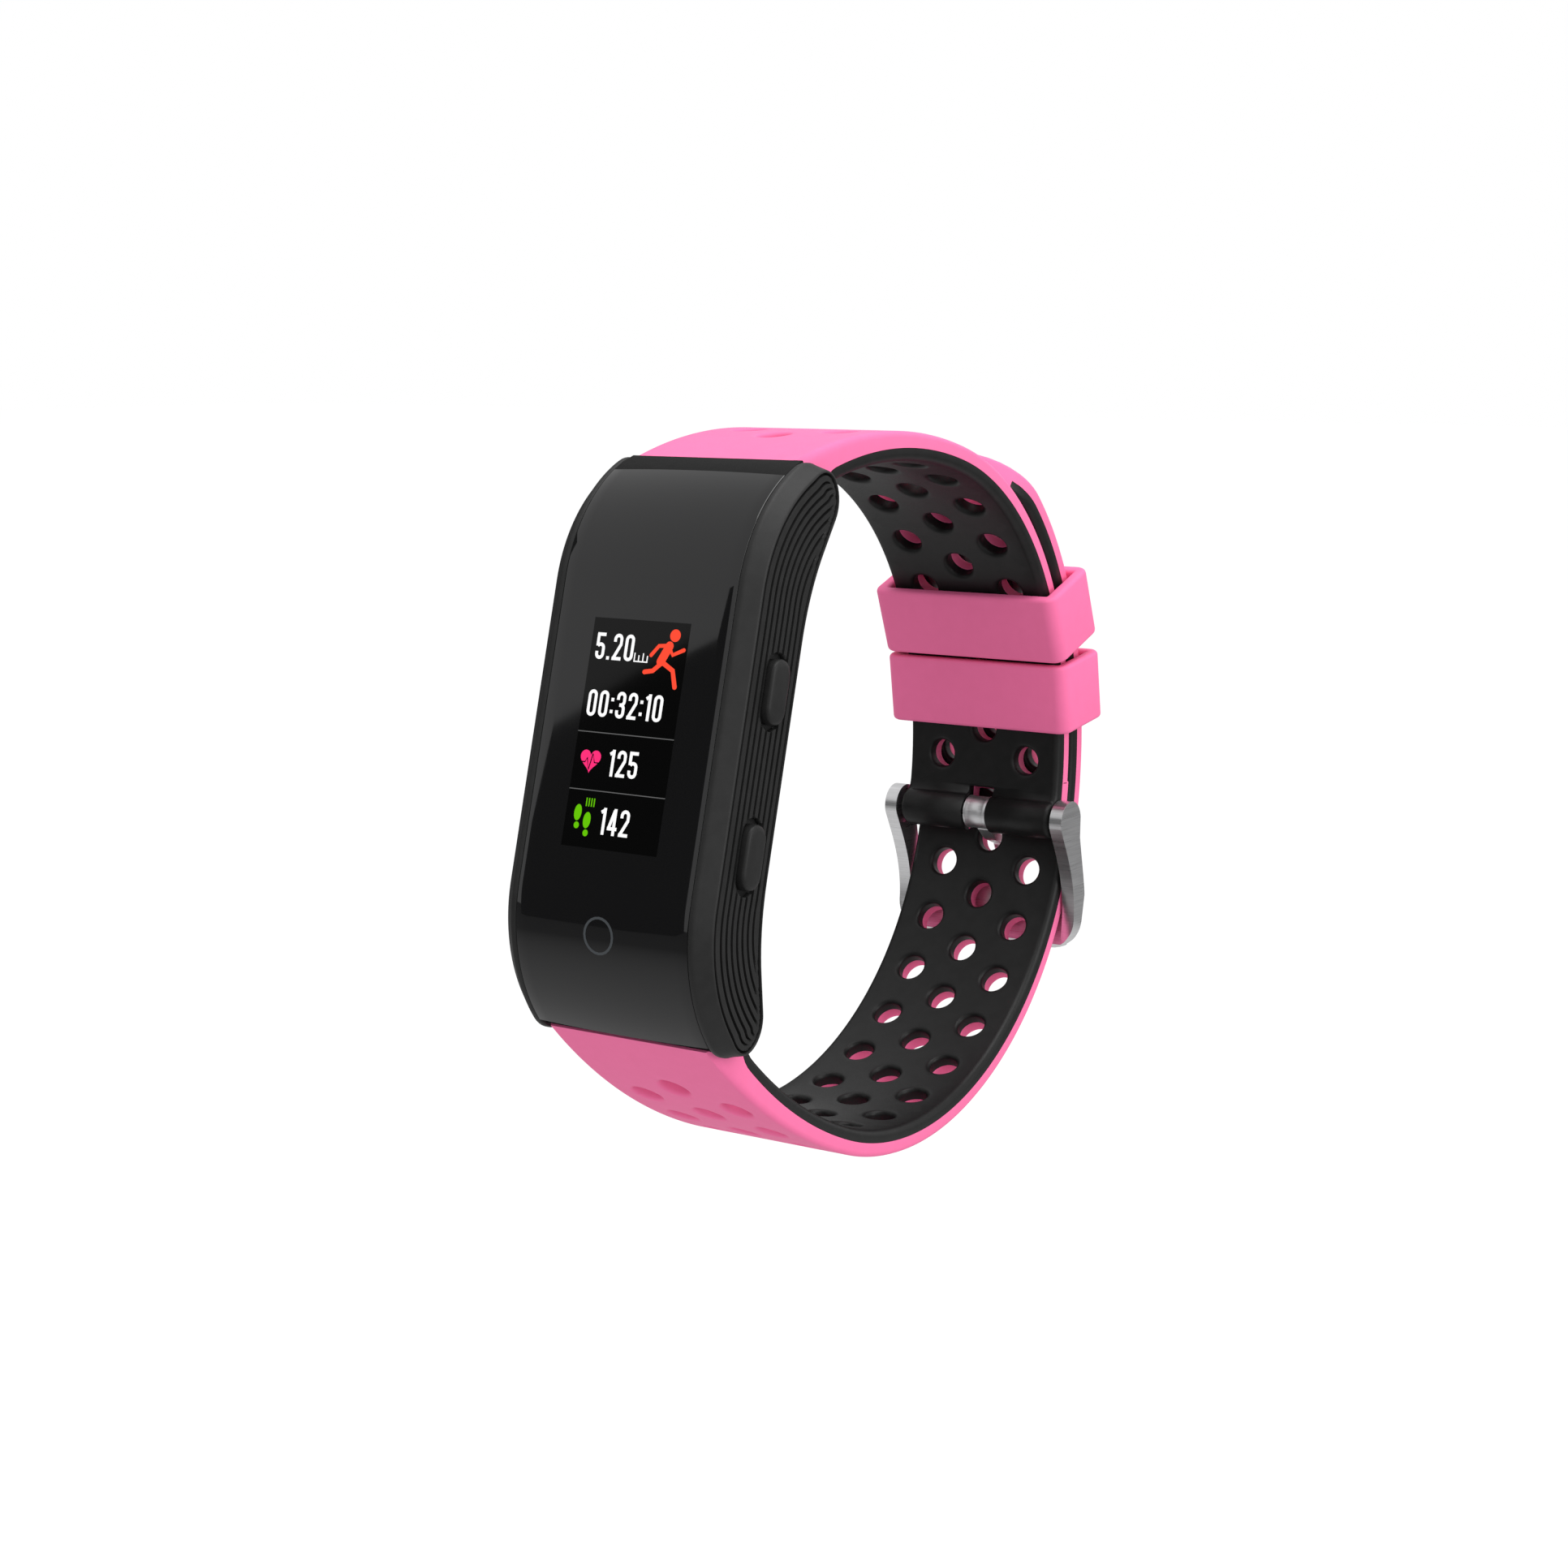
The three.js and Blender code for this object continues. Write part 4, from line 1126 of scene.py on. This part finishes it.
def make_display():
    """The lit screen: rows of figures with a runner, a heart and footprints beside them."""
    ink, _, _ = new_material("screen_black", (0.001, 0.001, 0.001), 0.05, Specular_IOR_Level=0.22)
    columns = [-SCREEN_HALF + 2 * SCREEN_HALF * k / 30 for k in range(31)]
    level = (SCREEN_LOW + SCREEN_HIGH) / 2
    parts = [inked("screen", [[(x, level) for x in columns]], SCREEN_HIGH - SCREEN_LOW, ink, SCREEN_LIFT)]
    dividers = [[(x, z) for x in columns] for z in (0.97, -4.12)]
    parts.append(inked("divider", dividers, 0.08, GREY_LIGHT))
    rows = (
        ("distance", "5.20", -4.6, 7.4),
        ("time", "00:32:10", -4.6, 2.35),
        ("pulse", "125", -1.25, -2.75),
        ("steps", "142", -1.25, -7.85),
    )
    parts += [make_figures(*row) for row in rows]
    scale = [[(-0.3, 7.45), (1.2, 7.45)]]
    scale += [[(-0.24 + 0.46 * k, 7.45), (-0.24 + 0.46 * k, 8.2 - 0.2 * (k % 2))] for k in range(4)]
    parts.append(inked("distance_scale", scale, 0.11, WHITE_LIGHT))
    parts.append(flat_shape("heart", heart(-3.35, -1.6, 1.12), PINK_LIGHT))
    beat = [(-4.5, -1.7), (-3.9, -1.7), (-3.7, -1.3), (-3.42, -2.35)]
    beat += [(-3.12, -0.9), (-2.86, -1.7), (-2.2, -1.7)]
    parts.append(inked("heart_beat", [beat], 0.12, ink, ICON_LIFT + 0.02))
    runner = (
        oval(3.75, 9.95, 0.55, 0.55),
        limb([(3.3, 9.0), (2.6, 7.6)], 0.85),
        limb([(3.35, 9.05), (2.2, 8.95), (1.5, 8.1)], 0.36),
        limb([(3.3, 8.95), (3.75, 8.25), (4.85, 8.75)], 0.36),
        limb([(2.75, 7.5), (1.9, 6.75), (1.05, 6.6)], 0.42),
        limb([(2.7, 7.6), (4.0, 6.9), (4.45, 5.5)], 0.45),
    )
    for outline in runner:
        parts.append(flat_shape("runner", outline, ORANGE_LIGHT))
    for x, z in ((-3.85, -6.15), (-2.75, -6.75)):
        parts.append(flat_shape("sole", oval(x, z, 0.4, 0.72, -4), GREEN_LIGHT))
        parts.append(flat_shape("heel", oval(x + 0.03, z - 1.12, 0.28, 0.3), GREEN_LIGHT))
    ticks = [[(-3.05 + 0.28 * k, -5.55), (-3.05 + 0.28 * k, -4.8)] for k in range(4)]
    parts.append(inked("step_ticks", ticks, 0.11, GREEN_LIGHT))
    return parts


RING_AT = -16.5
RING_OUTER = 1.62
RING_INNER = 1.4


def make_touch_ring():
    """A thin ring printed on the glass, below the screen. Its grey print glows faintly, which is painted
    light in place of the light that the print would reflect.
    """
    outside = ((RING_OUTER, ICON_ROOT), (RING_OUTER, ICON_LIFT))
    inside = ((RING_INNER, ICON_LIFT), (RING_INNER, ICON_ROOT))
    rings = []
    for radius, lift in outside + inside:
        rings.append([bent_on_glass(x, z, lift) for x, z in oval(0, RING_AT, radius, radius)])
    # the print's grey is emitted, not reflected: painted light, though the ring is no lamp
    return stacked("touch_ring", rings, glowing("glowing_ring_print", (0.055, 0.06, 0.065), 1.0), closed=True)


def bent_on_glass(x, z, lift):
    """A point over the glass where it already curves away, below the flat part."""
    centre = (FRONT + FRONT_BEND, -BEND_AT)
    below = (z - CASE_RISE) - centre[1]
    turn = 180 + math.degrees(math.asin(min(1, max(0, -below / FRONT_BEND))))
    return lens_point((centre, turn), x, -lift)


def make_case():
    shell = join_pieces("case_shell", make_cheek(1), make_cheek(-1))
    standing_for(shell, CASE_BODY, "black_plastic", "mid_case")
    for side, hand in ((1, "right"), (-1, "left")):
        trim = make_trim(side)
        trim.name = f"ribbed_panel_{hand}"
        standing_for(trim, CASE_BODY, "black_plastic", f"side_trim_{hand}")
    standing_for(make_case_middle(), CASE_BODY, "black_plastic")
    standing_for(make_lens(), CASE_BODY, "black_glass", "front_lens")
    for part in make_display() + [make_touch_ring()]:
        standing_for(part, CASE_BODY, "black_glass")
    for level, z in BUTTON_Z.items():
        button = make_button(z)
        button.name = f"{level}_side_button"
        standing_for(button, f"{level}_push_button", "black_plastic", f"{level}_button")


# ---- the closure ---------------------------------------------------------------------------------
def rounded_rectangle(half_a, half_b, corner, steps=6):
    """Points and outward headings round a rectangle with round corners."""
    result = []
    quarter = ((1, 1, 0), (-1, 1, 90), (-1, -1, 180), (1, -1, 270))
    for sign_a, sign_b, start in quarter:
        centre = (sign_a * (half_a - corner), sign_b * (half_b - corner))
        for k in range(steps + 1):
            result.append((polar(centre, corner, start + 90 * k / steps), start + 90 * k / steps))
    return result


def make_keeper(name, circle, angle):
    """A rounded loop round both layers of strap, square to the curve."""
    centre, radius = circle
    sag = radius - math.sqrt(radius**2 - (KEEPER_TALL / 2) ** 2)
    near = radius - sag - KEEPER_SLACK - KEEPER_WALL
    far = radius + TAIL_SHIFT + STRAP + KEEPER_SLACK + KEEPER_WALL
    path = rounded_rectangle(KEEPER_HALF, (far - near) / 2, KEEPER_CORNER)
    section = rounded_rectangle(KEEPER_WALL / 2, KEEPER_TALL / 2, KEEPER_EDGE, 4)
    middle = (near + far) / 2
    way = math.radians(angle)
    rings = []
    for (x, depth), heading in path:
        turn = math.radians(heading)
        ring = []
        for (outwards, height), _ in section:
            inset = outwards - KEEPER_WALL / 2
            px = x + inset * math.cos(turn)
            reach = middle + depth + inset * math.sin(turn)
            y = centre[0] + reach * math.cos(way) - height * math.sin(way)
            z = centre[1] + reach * math.sin(way) + height * math.cos(way)
            ring.append((px, y, z))
        rings.append(ring)
    return stacked(name, rings, PINK, 40, closed=True)


def cubic(a, b, c, d, share):
    return mix(quadratic(a, b, c, share), quadratic(b, c, d, share), share)


PLATE_LOW = -11.2
PLATE_CORNER = 3
HEAD_RADIUS = 2.15
BARREL_BORE = 0.8
PRONG_HALF = 0.75
PRONG_THICK = 0.95


def rounded_foot():
    """What the buckle keeps when its lower corners are rounded, as a block along y."""
    flat = BUCKLE_HALF - PLATE_CORNER
    right = arc((flat, PLATE_LOW + PLATE_CORNER), PLATE_CORNER, 270, 360, 10) + [(BUCKLE_HALF, 6)]
    outline = right + [(-x, z) for x, z in reversed(right)]
    return stacked("foot", [[(x, y, z) for x, z in outline] for y in (34, 46)], STEEL)


def make_buckle_arm(side):
    """A flat cheek of the buckle: a round head on the pin, then a leg that widens towards the plate."""
    outline = arc(PIN_AT, HEAD_RADIUS, 22, 212, 6)
    front = ((36.9, 0.2), (38.9, -1.9), (41.1, -4.3), (41.9, -7.7))
    outline += [cubic(*front, k / 10) for k in range(1, 11)]
    outline += [(42.3, -10), (42.7, -10.8), (43.3, -10.8), (43.65, -10), (43.75, -8)]
    rear = ((43.6, -5.2), (43.2, -4), (41.7, -1.4), (40.35, 1.4))
    outline += [cubic(*rear, k / 10) for k in range(10)]
    x0, x1 = sorted((side * BUCKLE_INNER, side * BUCKLE_HALF))
    return prism("arm", outline, x0, x1, STEEL)


def make_buckle_plate():
    """The plate behind the strap that joins the arms and that the tongue rests on."""
    outline = [(42.9, PLATE_LOW), (43.3, PLATE_LOW), (43.65, -10.8), (43.75, -8), (43.72, -5.3)]
    outline += [(43.05, -5.3), (42.95, -8), (42.6, -10.8)]
    return prism("plate", outline, -BUCKLE_INNER - 0.1, BUCKLE_INNER + 0.1, STEEL)


def make_tongue():
    """A grooved barrel on the pin and a prong that goes through the tail's hole."""
    half = [(0.95, 1.7), (1.02, 1.76), (1.3, 1.74), (1.38, 1.55)]
    profile = [(-x, radius) for x, radius in reversed(half)] + half
    profile += [(x, BARREL_BORE) for x in (half[-1][0], -half[-1][0])]
    rings = [side_section(x, arc(PIN_AT, radius, 0, 350, 10)) for x, radius in profile]
    spine = [(39.2, 0.6), (40.9, -0.25), (43.2, -0.5), (44.25, -1.75), (44.4, -4), (44.4, -7), (44.25, -11.5)]
    outline = []
    for k in range(25):
        place = k / 24 * (len(spine) - 1)
        i = min(int(place), len(spine) - 2)
        outline.append(mix(spine[i], spine[i + 1], place - i))
    prong = prism("prong", band_line(outline, PRONG_THICK), -PRONG_HALF, PRONG_HALF, SATIN)
    soften(prong, 0.28, 3, 40)
    return join_pieces("tongue_steel", stacked("barrel", rings, SATIN, 50, closed=True), prong)


def make_closure():
    buckle = make_buckle_plate()
    carve(buckle, make_buckle_arm(1), make_buckle_arm(-1), operation="UNION")
    carve(buckle, rounded_foot(), operation="INTERSECT")
    soften(buckle, 0.14, 3, 40)
    buckle.name = "buckle_steel"
    standing_for(buckle, "buckle", "steel", "buckle_frame")
    standing_for(make_tongue(), "tongue", "steel", "buckle_tongue")
    keepers = (("upper", "keeper_a", SHOULDER, LAP_JOINT + 0.6), ("lower", "keeper_b", LAP, 23.4))
    for level, body, circle, angle in keepers:
        keeper = make_keeper(f"keeper_loop_{level}", circle, angle)
        standing_for(keeper, body, "pink_silicone", f"{level}_keeper")


# ---- CAD nodes that stay as they are -------------------------------------------------------------
def dress(nodes, material, rounding=0):
    for name in nodes:
        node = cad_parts[name]
        node.data.materials.clear()
        node.data.materials.append(material)
        if rounding:
            soften(node, rounding, 2, 40)


def dress_frame():
    dress(["rear_cover"], CASE_PLASTIC, 0.12)
    dress(["display_bracket"], CASE_PLASTIC)
    dress(["sensor_window"], GLASS, 0.2)
    dress(["display_panel"], GLASS)
    dress(["main_board", "sensor_board"], BOARD)
    dress(["battery", "motor_housing"], FOIL)
    dress(["rear_seal", "upper_button_seal", "lower_button_seal"], SEAL_RUBBER)
    dress(["charging_contact_left", "charging_contact_right"], GOLD, 0.1)
    screws = [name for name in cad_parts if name.startswith("rear_screw")]
    dress(screws, STEEL, 0.08)
    dress(["upper_button_switch", "lower_button_switch", "upper_lug_pin", "lower_lug_pin"], STEEL)
    dress(["motor_rotor"], STEEL)
    dress(["buckle_pin"], POLISHED, 0.1)


# ---- stage, light and camera ---------------------------------------------------------------------
CAMERA_AZIMUTH = 34.0
CAMERA_ELEVATION = 9.34
CAMERA_DISTANCE = 260.06
CAMERA_TARGET = (0, -10.75, 2.38)
LENS_LENGTH = 63.26
FLOOR_DROP = 34
SKY = 0.76  # brightness of the surroundings that light the band
FLOOR_GLOW = 0.6  # brightness of the floor as it lights the band
FLOOR_SEEN = 0.93  # and as the camera sees it
FLOOR_HALF = 3  # metres
FLAG_GLOW = 0.09


def camera_place():
    """The camera's backward direction and its position, in metres."""
    azimuth, elevation = math.radians(CAMERA_AZIMUTH), math.radians(CAMERA_ELEVATION)
    back = Vector((
        math.sin(azimuth) * math.cos(elevation),
        -math.cos(azimuth) * math.cos(elevation),
        math.sin(elevation),
    ))
    return back, (Vector(CAMERA_TARGET) + back * CAMERA_DISTANCE) * MILLIMETRE


def make_camera():
    camera = add_to_scene("camera", bpy.data.cameras.new("camera"))
    camera.data.lens = LENS_LENGTH
    camera.data.sensor_width = 36
    camera.data.clip_start = 0.01
    back, camera.location = camera_place()
    camera.rotation_euler = back.to_track_quat("Z", "Y").to_euler()
    bpy.context.scene.camera = camera


def floor_level():
    return CAD_BOX[0][2] - FLOOR_DROP * MILLIMETRE


def seen_directly(tree, lighting, sight):
    """A strength that differs between what lights the object and what the eye sees of the backdrop."""
    camera_ray = tree.nodes.new("ShaderNodeLightPath").outputs["Is Camera Ray"]
    choice = add_node(tree, "ShaderNodeMapRange", To_Min=lighting, To_Max=sight, Value=camera_ray)
    return choice.outputs["Result"]


def fading_out(tree):
    """A strength for reflections that falls with the distance, in metres, from the band."""
    place = tree.nodes.new("ShaderNodeTexCoord").outputs["Object"]
    distance = add_node(tree, "ShaderNodeVectorMath", Vector=place)
    distance.operation = "LENGTH"
    limits = {"From_Min": 0.09, "From_Max": 0.3, "To_Min": 0.55, "To_Max": FLAG_GLOW}
    fade = add_node(tree, "ShaderNodeMapRange", Value=distance.outputs["Value"], **limits)
    return fade.outputs["Result"]


def add_sheet(name, corners, material):
    """Flat sheets of studio furniture, of four corners each, in metres."""
    mesh = bpy.data.meshes.new(name)
    mesh.from_pydata(corners, [], [tuple(range(k, k + 4)) for k in range(0, len(corners), 4)])
    mesh.materials.append(material)
    sheet = add_to_scene(name, mesh)
    return sheet


def make_floor():
    material, tree, shader = new_material("floor_white", (0.1, 0.1, 0.1), 0.9, Specular_IOR_Level=0)
    glossy_ray = tree.nodes.new("ShaderNodeLightPath").outputs["Is Glossy Ray"]
    plain = seen_directly(tree, FLOOR_GLOW, FLOOR_SEEN)
    choice = add_node(tree, "ShaderNodeMix", Factor=glossy_ray, A=plain, B=fading_out(tree))
    fill(tree, shader, Emission_Color=(1, 1, 1, 1), Emission_Strength=choice.outputs["Result"])
    signs = ((-1, -1), (1, -1), (1, 1), (-1, 1))
    add_sheet("floor", [(FLOOR_HALF * a, FLOOR_HALF * b, floor_level()) for a, b in signs], material)


def add_light(name, place, size, power):
    """A soft light that faces the band. Place and size are in metres, power in watts."""
    data = bpy.data.lights.new(name, "AREA")
    data.shape = "RECTANGLE"
    data.size, data.size_y = size
    data.energy = power
    light = add_to_scene(name, data)
    light.location = place
    light.rotation_euler = Vector(place).to_track_quat("Z", "Y").to_euler()


FLAG_REACH = 0.55  # metres from the glass
FLAG_WIDEN = 0.7  # how far it goes on past both sides, as a share of its width


def bounced(x, z):
    """Where the camera's ray is, in metres, once it has met the glass at x, z and gone on to the flag."""
    glass = to_row(on_glass(x, z, 0))
    normal = LEANING.to_3x3() @ Vector((2 * LENS_CROWN * x / GLASS_HALF**2, -1, 0)).normalized()
    ray = (glass - camera_place()[1]).normalized()
    return glass + ray.reflect(normal) * FLAG_REACH


def lowered(top, low, level):
    """The point at that height on the line from the top through the lower point."""
    return top + (low - top) * ((top.z - level) / (top.z - low.z))


def make_flag():
    """Dark studio flags that only reflections see.

    The first stands on the floor and leaves the glass grey above a diagonal. The second darkens what
    the left cheek reflects.
    """
    level = floor_level()
    left, right = bounced(-GLASS_HALF, 0.3), bounced(GLASS_HALF, 12.1)
    foot_left = lowered(left, bounced(-GLASS_HALF, -12.6), level)
    foot_right = lowered(right, bounced(GLASS_HALF, -12.6), level)
    widen = (right - left) * FLAG_WIDEN
    corners = [left - widen, right + widen, foot_right + widen, foot_left - widen]
    corners += [(-0.5, -0.25, level), (-0.5, 0.7, level), (-0.5, 0.7, 0.35), (-0.5, -0.25, 0.35)]
    material, _, _ = new_material(
        "flag_black", (0, 0, 0), 1,
        Specular_IOR_Level=0, Emission_Color=(1, 1, 1, 1), Emission_Strength=FLAG_GLOW,
    )
    flag = add_sheet("flag", corners, material)
    flag.visible_camera = False
    flag.visible_diffuse = False
    flag.visible_shadow = False


def make_studio():
    world = bpy.data.worlds.new("studio")
    world.use_nodes = True
    tree = world.node_tree
    sky = tree.nodes["Background"]
    sky.inputs["Color"].default_value = (1, 1, 1, 1)
    tree.links.new(seen_directly(tree, SKY, 1), sky.inputs["Strength"])
    bpy.context.scene.world = world
    bpy.context.scene.view_settings.view_transform = "Standard"
    add_light("top", (0.1, 0.0, 0.6), (0.5, 0.5), 2.6)
    add_light("right", (0.65, -0.05, 0.22), (0.35, 0.5), 1.7)
    make_flag()


make_strap()
make_case()
make_closure()
dress_frame()
make_camera()
make_floor()
make_studio()
